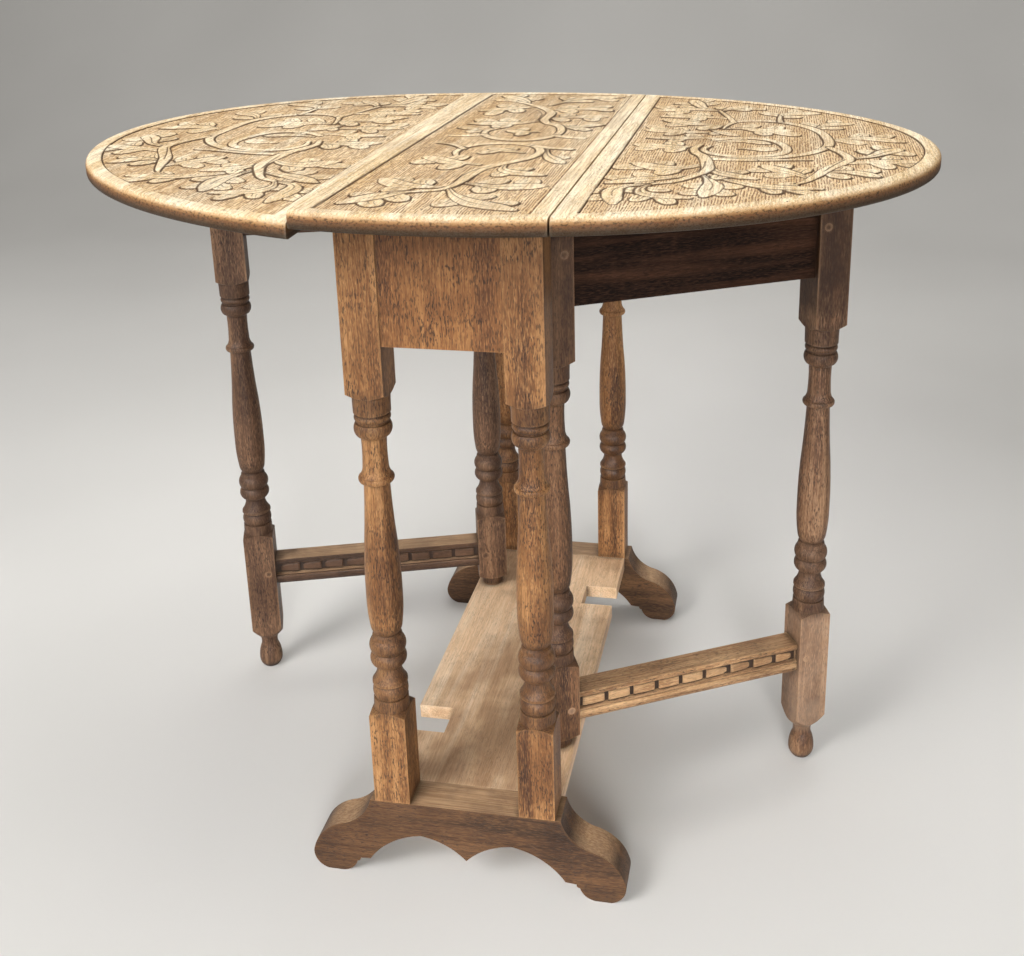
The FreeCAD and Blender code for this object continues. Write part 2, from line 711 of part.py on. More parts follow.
def corner_block_places(across, along):
    """The middle of a glue block in the corner of a bearer and an apron."""
    x = f"{across} * ({BEARER_X} - Sizes.bearer_thickness - Sizes.corner_block_side / 2)"
    y = f"{along} * ({APRON_BACK} - Sizes.corner_block_side / 2)"
    return x, y


def block_screws(name, gap):
    """The screws up through the four glue blocks into the top, or the holes for them."""
    made = []
    for across, along in CORNERS:
        x, y = corner_block_places(across, along)
        made.append(screw(f"{name}_{len(made)}", x, y, BLOCK_LOW, "Sizes.corner_block_height", gap))
    return made


def pivot_places(side):
    """A gate's pivot: the right gate's is near the front and the left gate's near the rear."""
    return f"{side} * {LEG_X}", f"{-side} * Sizes.pivot_offset"


def pivot_hole(name, side, low, depth):
    low_end = (*pivot_places(side), f"{low} - Sizes.overrun")
    return cylinder(name, low_end, "Sizes.pivot_radius + Sizes.fit_gap", f"{depth} + Sizes.overrun")


slab = oval_slab()
tilt = left_leaf_tilt()

centre_holes = block_screws("block_hole", "Sizes.fit_gap")
for side, side_name in SIDES:
    depth = "Sizes.pivot_reach + Sizes.fit_gap"
    centre_holes.append(pivot_hole(f"{side_name}_pivot_hole", side, UNDERSIDE, depth))
    centre_holes += plate_screws(f"{side_name}_fixed_hole", side, False, "Sizes.fit_gap")
centre_blank = board("centre_top", f"-{SEAM_X} + Sizes.seam_gap / 2", "Sizes.centre_width - Sizes.seam_gap")
panel_low = "-Sizes.centre_panel_width / 2"
panel_width = "Sizes.centre_panel_width"
centre_shares = (centre_foliage_shares, centre_ring_shares)
centre_holes.append(carved_ground("centre_ground", 1, panel_low, panel_width, *centre_shares))
keep(cut("centre_top", centre_blank, centre_holes), "centre_top")

for side, side_name in SIDES:
    low_x = SEAM_EDGE if side > 0 else f"-{SEAM_EDGE} - Sizes.oval_length"
    blank = board(f"{side_name}_leaf", low_x, "Sizes.oval_length")
    holes = plate_screws(f"{side_name}_leaf_hole", side, True, "Sizes.fit_gap")
    panel_low = LEAF_PANEL if side > 0 else f"-{LEAF_PANEL} - Sizes.oval_length"
    leaf_shares = (leaf_foliage_shares, leaf_ring_shares)
    holes.append(carved_ground(f"{side_name}_ground", side, panel_low, "Sizes.oval_length", *leaf_shares))
    leaf = keep(cut(f"{side_name}_leaf", blank, holes), f"{side_name}_leaf")
    if side < 0:
        leaf.Placement = tilt


# hinges under the seams
def hinge_axis(side):
    """Height of a seam's hinge axis, below the lower of the two boards that it joins."""
    level = f"({UNDERSIDE} - Sizes.knuckle_radius - Sizes.running_gap)"
    return level if side > 0 else f"({level} - {LEFT_DROP})"


def hinge_plate(name, side, end, on_leaf):
    """A hinge's plate and knuckles: the leaf's plate has the middle one, the other plate the outer two."""
    way = 1 if on_leaf else -1
    seam = f"{side} * {SEAM_X}"
    axis = hinge_axis(side)
    outwards = side * way > 0
    low_x = f"{seam} + {PLATE_START}" if outwards else f"{seam} - {PLATE_START} - Sizes.hinge_plate_width"
    low_y = f"{end} * Sizes.hinge_offset - Sizes.hinge_length / 2"
    sides = ("Sizes.hinge_plate_width", "Sizes.hinge_length", "Sizes.hinge_plate_thickness")
    holes = []
    for x, y in hinge_screw_places(side, end, on_leaf):
        hole_name = f"{name}_hole_{len(holes)}"
        hole = screw(hole_name, x, y, PLATE_LOW, "Sizes.hinge_plate_thickness", "Sizes.fit_gap")
        holes.append(hole)
    plate = cut(name + "_plate", box(name + "_flat", (low_x, low_y, PLATE_LOW), sides), holes)
    web_top = f"{PLATE_LOW} + Sizes.hinge_plate_thickness / 2"
    if on_leaf and side < 0:
        plate.Placement = tilt
        near_x = number(f"{seam} - {PLATE_START}")
        near = FreeCAD.Vector(near_x, number(f"{end} * Sizes.hinge_offset"), number(web_top))
        web_top = str(tilt.multVec(near).z)
    middle = f"{middle_knuckle_share} * Sizes.hinge_length"
    outer = f"(Sizes.hinge_length - {middle}) / 2"
    spans = [(low_y, outer), (f"{low_y} + {outer} + {middle}", outer)]
    if on_leaf:
        spans = [(f"{low_y} + {outer} + Sizes.running_gap", f"{middle} - 2 * Sizes.running_gap")]
    web_length = f"{PLATE_START} + Sizes.hinge_plate_thickness"
    web_x = seam if outwards else f"{seam} - ({web_length})"
    pieces = [plate]
    bores = []
    for start, length in spans:
        knuckle = f"{name}_knuckle_{len(bores)}"
        pieces.append(cylinder(knuckle, (seam, start, axis), "Sizes.knuckle_radius", length, ALONG_Y))
        web_low = f"min({axis}; {web_top} - Sizes.hinge_plate_thickness / 2)"
        web_high = f"max({axis}; {web_top})"
        web_sides = (web_length, length, f"{web_high} - {web_low}")
        pieces.append(box(f"{knuckle}_web", (web_x, start, web_low), web_sides))
        bore_start = (seam, f"{start} - Sizes.overrun", axis)
        bore_length = f"{length} + 2 * Sizes.overrun"
        bores.append(cylinder(f"{knuckle}_bore", bore_start, PIN_BORE, bore_length, ALONG_Y))
    return keep(cut(name, fuse(name + "_blank", pieces), bores), name)


for side, side_name in SIDES:
    for end, end_name in ENDS:
        hinge = f"{side_name}_{end_name}_hinge"
        hinge_plate(f"{hinge}_fixed_plate", side, end, False)
        hinge_plate(f"{hinge}_leaf_plate", side, end, True)
        pin_y = f"{end} * Sizes.hinge_offset - Sizes.hinge_length / 2"
        pin_start = (f"{side} * {SEAM_X}", pin_y, hinge_axis(side))
        pin = cylinder(f"{hinge}_pin", pin_start, "Sizes.hinge_pin_radius", "Sizes.hinge_length", ALONG_Y)
        keep(pin, f"{hinge}_pin")
    screws = plate_screws(f"{side_name}_leaf_screw", side, True, "0")
    leaf_screws = keep(group(f"{side_name}_leaf_screws", screws), f"{side_name}_leaf_screws")
    if side < 0:
        leaf_screws.Placement = tilt
fixed_screws = plate_screws("left_fixed_screw", -1, False, "0")
fixed_screws += plate_screws("right_fixed_screw", 1, False, "0")
keep(group("hinge_fixed_screws", fixed_screws), "hinge_fixed_screws")

# frame legs, end aprons, long bearers and glue blocks
for side, side_name in SIDES:
    for end, end_name in ENDS:
        leg = turned_stock(f"{end_name}_{side_name}_leg", "Sizes.foot_height", UNDERSIDE)
        round_end = ("0", "0", "Sizes.leg_tenon_radius", "Sizes.foot_height")
        tenon = circle(leg, "foot_tenon_outline", "XY_Plane", *round_end)
        pad(leg, "foot_tenon", tenon, "Sizes.leg_tenon_length", backwards=True)
        mortise(leg, "apron_mortise", APRON_TENON_LOW, APRON_TENON, -side, f"{end} * {APRON_MIDDLE}")
        place(leg, f"{side} * {LEG_X}", f"{end} * {LEG_Y}", "0")
        keep(leg, f"{end_name}_{side_name}_leg")

for end, end_name in ENDS:
    middle = f"{end} * ({LEG_Y} + {APRON_MIDDLE})"
    panel_y = f"{middle} - Sizes.apron_thickness / 2"
    panel_low = (f"-{APRON_LENGTH} / 2", panel_y, f"{UNDERSIDE} - Sizes.apron_depth")
    panel_sides = (APRON_LENGTH, "Sizes.apron_thickness", "Sizes.apron_depth")
    panel = box(f"{end_name}_apron_panel", panel_low, panel_sides)
    tenon_y = f"{middle} - Sizes.tenon_thickness / 2"
    tenon_low = (f"-{APRON_LENGTH} / 2 - {TENON_LENGTH}", tenon_y, APRON_TENON_LOW)
    tenon_sides = (f"{APRON_LENGTH} + 2 * {TENON_LENGTH}", "Sizes.tenon_thickness", APRON_TENON)
    tenons = box(f"{end_name}_apron_tenons", tenon_low, tenon_sides)
    keep(fuse(f"{end_name}_apron", [panel, tenons]), f"{end_name}_apron")

for side, side_name in SIDES:
    middle = f"{side} * ({BEARER_X} - Sizes.bearer_thickness / 2)"
    low = (f"{middle} - Sizes.bearer_thickness / 2", f"-{APRON_BACK}", f"{UNDERSIDE} - Sizes.bearer_depth")
    bearer_sides = ("Sizes.bearer_thickness", f"2 * {APRON_BACK}", "Sizes.bearer_depth")
    bearer = box(f"{side_name}_bearer", low, bearer_sides)
    keep(bearer, f"{side_name}_bearer")

blocks = []
for (across, along), bore in zip(CORNERS, block_screws("block_bore", "Sizes.fit_gap")):
    x, y = corner_block_places(across, along)
    low = (f"{x} - Sizes.corner_block_side / 2", f"{y} - Sizes.corner_block_side / 2", BLOCK_LOW)
    sides = ("Sizes.corner_block_side", "Sizes.corner_block_side", "Sizes.corner_block_height")
    blocks.append(cut(f"bored_block_{len(blocks)}", box(f"block_{len(blocks)}", low, sides), [bore]))
keep(group("corner_blocks", blocks), "corner_blocks")
keep(group("top_screws", block_screws("block_screw", "0")), "top_screws")


# sledge feet, shelf and dowels
def foot_points():
    """The foot's outline, round its right half to the middle of the arches and back round its left half."""
    rows = []
    for across, height, bulge in foot_outline_shares:
        rows.append((f"{across} * Sizes.foot_span / 2", f"{height} * Sizes.foot_height", bulge))
    left = []
    for n in range(len(rows) - 1, 0, -1):
        left.append((f"-{rows[n][0]}", rows[n][1], rows[n - 1][2]))
    left.append((f"-{rows[0][0]}", rows[0][1], 0.0))
    points = []
    for x, z, bulge in rows[:-1] + left:
        arc = (f"{abs(bulge)} * Sizes.foot_height", 1 if bulge > 0 else -1)
        points.append((x, z) + (arc if bulge else ()))
    return points


for end, end_name in ENDS:
    foot = doc.addObject("PartDesign::Body", f"{end_name}_foot")
    plank = outline(foot, "plank_outline", "XZ_Plane", foot_points())
    pad(foot, "plank", plank, "Sizes.foot_thickness", both_ways=True)
    for side, side_name in SIDES:
        hole_radius = "Sizes.leg_tenon_radius + Sizes.fit_gap"
        hole_name = f"{side_name}_leg_hole"
        hole_place = (f"{side} * {LEG_X}", "0", hole_radius, "Sizes.foot_height")
        hole = circle(foot, hole_name + "_outline", "XY_Plane", *hole_place)
        pocket(foot, hole_name, hole, "Sizes.leg_tenon_length + Sizes.tenon_gap")
        hole_radius = "Sizes.shelf_dowel_radius + Sizes.fit_gap"
        hole_name = f"{side_name}_dowel_hole"
        hole = circle(foot, hole_name + "_outline", "XZ_Plane", f"{side} * {DOWEL_X}", DOWEL_Z, hole_radius)
        pocket(foot, hole_name, hole, "Sizes.foot_thickness", backwards=end > 0)
    place(foot, "0", f"{end} * {LEG_Y}", "0")
    keep(foot, f"{end_name}_foot")


def shelf_dowels(name, gap):
    """The dowels that hold the shelf between the feet, or with a gap, the holes for them in the shelf."""
    made = []
    for side, side_name in SIDES:
        for end, end_name in ENDS:
            low_y = f"-{LEG_Y}" if end < 0 else f"{SHELF_END} - Sizes.shelf_dowel_reach"
            start = (f"{side} * {DOWEL_X}", f"{low_y} - {gap}", DOWEL_Z)
            length = f"Sizes.foot_thickness / 2 + Sizes.shelf_dowel_reach + 2 * {gap}"
            radius = f"Sizes.shelf_dowel_radius + {gap}"
            made.append(cylinder(f"{name}_{len(made)}", start, radius, length, ALONG_Y))
    return made


shelf_cuts = shelf_dowels("shelf_dowel_hole", "Sizes.fit_gap")
for side, side_name in SIDES:
    closed_y = f"{side} * (Sizes.gate_length - Sizes.pivot_offset)"
    low_x = NOTCH_X if side > 0 else f"-{NOTCH_X} - {NOTCH_DEPTH}"
    notch_low = (low_x, f"{closed_y} - {NOTCH_LENGTH} / 2", f"{SHELF_BOTTOM} - Sizes.overrun")
    notch_sides = (NOTCH_DEPTH, NOTCH_LENGTH, "Sizes.shelf_thickness + 2 * Sizes.overrun")
    shelf_cuts.append(box(f"{side_name}_notch", notch_low, notch_sides))
    through = "Sizes.shelf_thickness + Sizes.overrun"
    shelf_cuts.append(pivot_hole(f"{side_name}_shelf_hole", side, SHELF_BOTTOM, through))
shelf_sides = (f"2 * {SHELF_EDGE}", f"2 * {SHELF_END}", "Sizes.shelf_thickness")
plank = box("shelf_plank", (f"-{SHELF_EDGE}", f"-{SHELF_END}", SHELF_BOTTOM), shelf_sides)
keep(cut("shelf", plank, shelf_cuts), "shelf")
keep(group("shelf_dowels", shelf_dowels("shelf_dowel", "0")), "shelf_dowels")


# gates, drawn along +X from the pivot and then swung to where they stand
def gate_upright(label, towards, low, high):
    """A turned upright of a gate, mortised for the rail and the stretcher and bored for their pegs."""
    body = turned_stock(label, low, high)
    mortise(body, "rail_mortise", RAIL_TENON_LOW, RAIL_TENON, towards)
    mortise(body, "stretcher_mortise", STRETCHER_TENON_LOW, STRETCHER_TENON, towards)
    for n, height in enumerate(PEG_HEIGHTS):
        x = f"{towards} * {PEG_PLACE}"
        radius = "Sizes.peg_radius + Sizes.fit_gap"
        bore = circle(body, f"peg_hole_outline_{n}", "XZ_Plane", x, height, radius)
        pocket(body, f"peg_hole_{n}", bore, "2 * Sizes.leg_width", both_ways=True)
    return body


def gate_pegs(name, gap):
    """The pegs through one gate's tenons, or with a gap, the holes for them."""
    made = []
    for height in PEG_HEIGHTS:
        for x in (PEG_PLACE, f"Sizes.gate_length - {PEG_PLACE}"):
            start = (x, f"-{HALF_LEG}", height)
            radius = f"Sizes.peg_radius + {gap}"
            made.append(cylinder(f"{name}_{len(made)}", start, radius, "Sizes.leg_width", ALONG_Y))
    return made


def tenoned(name, middle, low, height):
    """Joins a gate's rail to its two tenons and bores it for the pegs."""
    tenon_low = (f"{HALF_LEG} - {TENON_LENGTH}", "-Sizes.tenon_thickness / 2", low)
    tenon_sides = (f"{CLEAR_LENGTH} + 2 * {TENON_LENGTH}", "Sizes.tenon_thickness", height)
    joined = fuse(f"{name}_blank", [middle, box(f"{name}_tenons", tenon_low, tenon_sides)])
    return cut(name, joined, gate_pegs(f"{name}_peg_hole", "Sizes.fit_gap"))


def stretcher_points():
    """The whole moulded section, the same on both faces."""
    half = []
    for across, height in stretcher_section_shares:
        level = f"Sizes.stretcher_bottom + {height} * Sizes.stretcher_height"
        half.append((f"{across} * Sizes.stretcher_thickness / 2", level))
    return half + [(f"-{y}", z) for y, z in reversed(half)]


def pivot_post(gate):
    post = gate_upright(f"{gate}_post_stock", 1, POST_BOTTOM, POST_TOP)
    turn(post, "stub", post_stub_shares, POST_BOTTOM, "Sizes.post_stub_height")
    for name, level, upwards in (("lower_seat", POST_BOTTOM, True), ("upper_seat", POST_TOP, False)):
        radius = "Sizes.pivot_radius + Sizes.fit_gap"
        seat = circle(post, name + "_outline", "XY_Plane", "0", "0", radius, level)
        pocket(post, name, seat, "Sizes.pivot_seat + Sizes.tenon_gap", backwards=upwards)
    return post


def outer_leg(gate):
    leg = gate_upright(f"{gate}_leg_stock", -1, "0", GATE_TOP)
    turn(leg, "bun_foot", bun_foot_shares, "0", "Sizes.bun_foot_height")
    return group(f"{gate}_outer_leg", [place(leg, "Sizes.gate_length", "0", "0")])


def top_rail(gate):
    low = (HALF_LEG, "-Sizes.gate_rail_thickness / 2", RAIL_BOTTOM)
    rail_sides = (CLEAR_LENGTH, "Sizes.gate_rail_thickness", "Sizes.gate_rail_depth")
    rail = box(f"{gate}_rail_board", low, rail_sides)
    return tenoned(f"{gate}_top_rail", rail, RAIL_TENON_LOW, RAIL_TENON)


def stretcher(gate):
    bar = doc.addObject("PartDesign::Body", f"{gate}_stretcher_bar")
    pad(bar, "moulding", outline(bar, "section", "YZ_Plane", stretcher_points(), HALF_LEG), CLEAR_LENGTH)
    return tenoned(f"{gate}_stretcher", bar, STRETCHER_TENON_LOW, STRETCHER_TENON)


def pivot_dowel(name, low, length):
    return group(name, [cylinder(name + "_rod", ("0", "0", low), "Sizes.pivot_radius", length)])


def swing(item, side, angle):
    """Turns a finished gate piece about its pivot to where it stands; the left gate faces the other way."""
    turned = FreeCAD.Rotation(UP, angle if side > 0 else 180 + angle)
    item.Placement = FreeCAD.Placement(FreeCAD.Vector(), turned)
    return place(item, *pivot_places(side), "0")


for side, side_name in SIDES:
    gate = f"{side_name}_gate"
    pieces = {
        "pivot_post": pivot_post(gate),
        "outer_leg": outer_leg(gate),
        "top_rail": top_rail(gate),
        "stretcher": stretcher(gate),
        "lower_pivot_dowel": pivot_dowel(f"{gate}_lower_pivot_dowel", SHELF_BOTTOM, LOWER_DOWEL),
        "upper_pivot_dowel": pivot_dowel(f"{gate}_upper_pivot_dowel", UPPER_DOWEL_LOW, UPPER_DOWEL),
        "pegs": group(f"{gate}_pegs", gate_pegs(f"{gate}_peg", "0")),
    }
    for name, piece in pieces.items():
        keep(swing(piece, side, number(f"Sizes.{gate}_angle")), f"{gate}_{name}")

# pads under the leaves, where they rest on the open gates' outer legs
for side, side_name in SIDES:
    opening = math.radians(number(f"Sizes.{side_name}_gate_angle"))
    middle_x = f"{side} * ({LEG_X} + Sizes.gate_length * {math.cos(opening)})"
    middle_y = f"{side} * (Sizes.gate_length * {math.sin(opening)} - Sizes.pivot_offset)"
    thickness = "(Sizes.gate_set_down - Sizes.running_gap)"
    if side < 0:
        under = FreeCAD.Vector(number(middle_x), number(middle_y), number(UNDERSIDE))
        raised = tilt.multVec(under).z - under.z
        corner_drop = tilt.Rotation.Angle * number("Sizes.leaf_pad_side / sqrt(2)")
        thickness = f"({thickness} + {raised - corner_drop})"
    half = "Sizes.leaf_pad_side / 2"
    low = (f"{middle_x} - {half}", f"{middle_y} - {half}", f"{UNDERSIDE} - {thickness}")
    pad_sides = ("Sizes.leaf_pad_side", "Sizes.leaf_pad_side", thickness)
    pad_block = box(f"{side_name}_pad_block", low, pad_sides)
    leaf_pad = keep(group(f"{side_name}_leaf_pad", [pad_block]), f"{side_name}_leaf_pad")
    if side < 0:
        leaf_pad.Placement = tilt

doc.recompute()
failed = [item.Label for item in doc.Objects if "Invalid" in item.State or "Error" in item.State]
for item in parts:
    if item.Shape.isNull() or not item.Shape.isValid() or not item.Shape.Solids:
        failed.append(item.Label)
if failed:
    raise ValueError("these did not build: " + ", ".join(failed))
os.makedirs("parts", exist_ok=True)
for item in parts:
    item.Shape.exportStep(os.path.join("parts", item.Label + ".step"))
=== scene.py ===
import math

import bpy
import numpy
from mathutils import Matrix, Vector


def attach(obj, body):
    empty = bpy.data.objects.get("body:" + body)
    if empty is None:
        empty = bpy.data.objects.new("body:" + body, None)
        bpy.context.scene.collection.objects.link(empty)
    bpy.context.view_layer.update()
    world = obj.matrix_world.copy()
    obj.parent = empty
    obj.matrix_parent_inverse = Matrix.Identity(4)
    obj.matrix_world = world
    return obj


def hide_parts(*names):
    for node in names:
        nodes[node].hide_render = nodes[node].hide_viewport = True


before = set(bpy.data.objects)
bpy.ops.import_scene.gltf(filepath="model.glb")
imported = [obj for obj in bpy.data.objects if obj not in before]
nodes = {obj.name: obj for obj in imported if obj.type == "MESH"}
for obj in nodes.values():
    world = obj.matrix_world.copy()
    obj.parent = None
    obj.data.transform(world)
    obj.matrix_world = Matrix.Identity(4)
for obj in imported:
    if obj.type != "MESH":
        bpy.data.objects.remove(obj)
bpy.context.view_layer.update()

MM = 0.001

# The carved top, in millimetres: the oval, its seams, its moulded edge, its border and the sunk ground.
HALF_LENGTH = 436.0
HALF_DEPTH = 342.0
TOP = 710.0
UNDERSIDE = 694.0
SEAM = 108.0
SEAM_EDGE = 108.9
CENTRE_EDGE = 107.1
UPPER_ROUND = 6.0
LOWER_ROUND = 4.0
TIP_GAP = 0.05
TIP_CROWDING = 1.15
BORDER = 15.5
CENTRE_PANEL = 91.0
LEAF_PANEL = 127.5
GROUND_DEPTH = 1.15
GRID_STEP = 1.0
SOFT_CELLS = 8
SHARP_ANGLE = math.radians(70.0)

# The left leaf hangs low at the front end of its seam and rises to its tip.
LEAF_SAG = 9.0
LEAF_RISE = 6.5

# Its carving strays from the right leaf's by up to this much along and across.
STRAY_X = 2.2
STRAY_Y = 2.4

# The cutting, in millimetres: raised shapes stop short of the face, the ground dips beside them, and a line
# of painted shade of varying breadth runs along their foot. The panels end in a groove along the border, also
# painted dark as painted shade. Each cut is a half width and a depth.
SHAPE_MARGIN = 4.0
CUT_MARGIN = 3.0
SHOULDER = 1.5
RELIEF_GAP = 0.1
CROWN_REACH = 6.0
LEAF_CROWN = 0.02
BAND_CROWN = 0.015
DIP_DEPTH = 0.5
DIP_WIDTH = 1.4
LINE_BREADTH = 1.25
LINE_SWING = 0.5
LINE_OFFSET = 0.5
LINE_STRENGTH = 1.3
TOOLING = 0.12
DEEPEST = GROUND_DEPTH + 0.8
GROOVE_DEPTH = 0.95
GROOVE_WIDTH = 1.4
GROOVE_OFFSET = 0.4
SPLIT_CUT = (1.4, 0.6)
MIDRIB_CUT = (1.2, 0.4)
VEIN_CUT = (1.0, 0.35)
SIDE_VEIN_CUT = (0.85, 0.3)

# Leaves: how the midrib and the lobes swell from root to tip, in shares of the leaf's half width.
HALF_WIDTH_DIVISOR = 3.7
RIB_SWELL = ((0.0, 0.16, 0.45, 0.7, 0.88, 1.0), (0.2, 0.26, 0.55, 0.84, 0.74, 0.3))
LOBE_SWELL = ((0.0, 0.3, 0.62, 0.86, 1.0), (0.2, 0.5, 0.86, 0.72, 0.26))
LOBE_STEPS = 9
LOBE_LAST = 0.85
LOBE_BACK = 0.24
LOBE_KNEE = 0.45
LOBE_OVERSHOOT = 0.2
VEIN_ASIDE = 0.2
SIDE_VEIN_ASIDE = 1.2
MIDRIB_END = 0.86

# The drawing of the carving is laid out in half millimetres from the oval's left rear corner.
DRAWING_SCALE = 2.0
DRAWING_MIDDLE_X = 450.0
DRAWING_MIDDLE_Y = 346.0
LEAF_SHORTENING = 0.03
REAR_STRETCH = 1.05
FLOW_STEPS = 7

# Scroll bands: rows of x, y and width.
CENTRE_BANDS = [
    [(838, 868, 10), (828, 830, 14), (832, 790, 16), (850, 757, 17), (880, 737, 18), (915, 730, 18),
     (950, 740, 18), (978, 765, 18), (993, 800, 18), (996, 840, 18), (986, 880, 19), (965, 915, 20),
     (940, 950, 22), (918, 990, 24), (910, 1040, 26), (910, 1090, 22), (905, 1135, 16), (890, 1170, 12),
     (850, 1190, 10), (815, 1210, 8)],
    [(975, 760, 18), (1010, 775, 17), (1052, 785, 15)],
    [(835, 800, 14), (815, 770, 13), (790, 750, 11), (768, 742, 9)],
    [(780, 180, 8), (825, 212, 11), (860, 250, 14), (900, 300, 18), (925, 350, 22), (930, 400, 24),
     (930, 450, 22), (945, 490, 19), (975, 520, 18), (990, 560, 18), (995, 600, 18), (990, 640, 18),
     (965, 680, 18), (930, 695, 18), (890, 690, 18), (860, 670, 17), (840, 640, 16), (832, 600, 13),
     (850, 565, 9)],
    [(990, 640, 18), (1020, 652, 17), (1055, 660, 15)],
    [(840, 640, 16), (800, 655, 13), (768, 655, 9)],
]

# Long grooves that split the swelling of a band.
CENTRE_SPLITS = [
    [(932, 962), (908, 1010), (900, 1060), (898, 1110)],
    [(882, 310), (905, 360), (912, 420), (915, 480)],
]

# Leaves: the midrib from its root to its tip, the width at the tip, and the middles of its side lobes.
CENTRE_LEAVES = [
    ([(1005, 790), (1012, 830), (1022, 862), (1040, 895), (1060, 922)], 34, [(1052, 868)]),
    ([(955, 950), (960, 990), (985, 1015), (1044, 1034)], 40, [(1002, 982), (964, 1040)]),
    ([(925, 1115), (970, 1135), (1010, 1135), (1062, 1118)], 50,
     [(978, 1088), (968, 1170), (1032, 1082)]),
    ([(905, 1165), (930, 1215), (970, 1260), (1048, 1300)], 48,
     [(982, 1214), (924, 1276), (1032, 1258)]),
    ([(895, 1150), (850, 1150), (810, 1140), (764, 1096)], 50,
     [(842, 1104), (800, 1092), (806, 1182)]),
    ([(880, 1175), (830, 1200), (800, 1230), (752, 1286)], 50,
     [(764, 1222), (842, 1250), (808, 1290)]),
    ([(905, 950), (870, 940), (840, 930), (782, 888)], 46, [(852, 882), (850, 986), (784, 940)]),
    ([(965, 830), (945, 818), (918, 806), (890, 792)], 34, [(886, 836), (932, 782)]),
    ([(985, 560), (1010, 540), (1040, 520), (1070, 502)], 38, [(996, 512), (1044, 566)]),
    ([(945, 600), (925, 604), (905, 602), (880, 590)], 34, [(915, 634), (910, 570)]),
    ([(920, 470), (890, 490), (850, 505), (775, 512)], 50, [(845, 456), (848, 546), (788, 466)]),
    ([(930, 310), (980, 295), (1030, 295), (1062, 322)], 44, [(958, 262), (972, 338), (1042, 256)]),
    ([(940, 430), (990, 410), (1020, 402), (1060, 400)], 42, [(976, 456), (972, 372), (1040, 444)]),
    ([(905, 250), (945, 165), (985, 128), (1058, 112)], 44, [(984, 182), (918, 126), (1042, 162)]),
    ([(880, 270), (845, 290), (810, 310), (756, 340)], 46, [(842, 344), (790, 264), (788, 384)]),
    ([(850, 240), (830, 190), (800, 150), (756, 112)], 42, [(850, 148), (764, 178), (800, 100)]),
    ([(830, 600), (805, 584), (788, 572), (762, 560)], 32, [(800, 608)]),
]

LEAF_BANDS = [
    [(1345, 850, 20), (1400, 846, 20), (1450, 838, 20), (1490, 815, 20), (1530, 780, 20), (1560, 730, 20),
     (1572, 680, 21), (1570, 620, 21), (1560, 560, 20), (1540, 510, 20), (1510, 470, 20), (1470, 440, 19),
     (1430, 425, 18), (1390, 430, 16), (1365, 450, 13), (1352, 490, 10), (1346, 530, 7)],
    [(1345, 852, 18), (1410, 858, 15), (1470, 852, 13), (1532, 846, 9)],
    [(1335, 655, 14), (1365, 636, 16), (1400, 628, 17), (1450, 650, 18), (1480, 700, 18), (1486, 760, 18),
     (1462, 804, 18), (1400, 824, 18), (1344, 806, 16), (1320, 764, 14), (1330, 722, 10)],
    [(1310, 712, 12), (1300, 752, 17), (1308, 795, 20), (1325, 832, 22), (1337, 900, 24), (1340, 958, 24),
     (1320, 1010, 20), (1290, 1060, 14), (1252, 1086, 9)],
    [(1572, 716, 14), (1598, 780, 18), (1606, 830, 22), (1590, 872, 24), (1562, 930, 24), (1545, 980, 20),
     (1522, 1036, 12), (1505, 1062, 5)],
    [(1365, 450, 13), (1355, 400, 12), (1340, 350, 11), (1325, 300, 9)],
    [(1470, 440, 14), (1468, 400, 12), (1468, 366, 9)],
]

LEAF_SPLITS = [
    [(1332, 880), (1333, 930), (1326, 985)],
    [(1598, 838), (1575, 895), (1556, 950)],
]

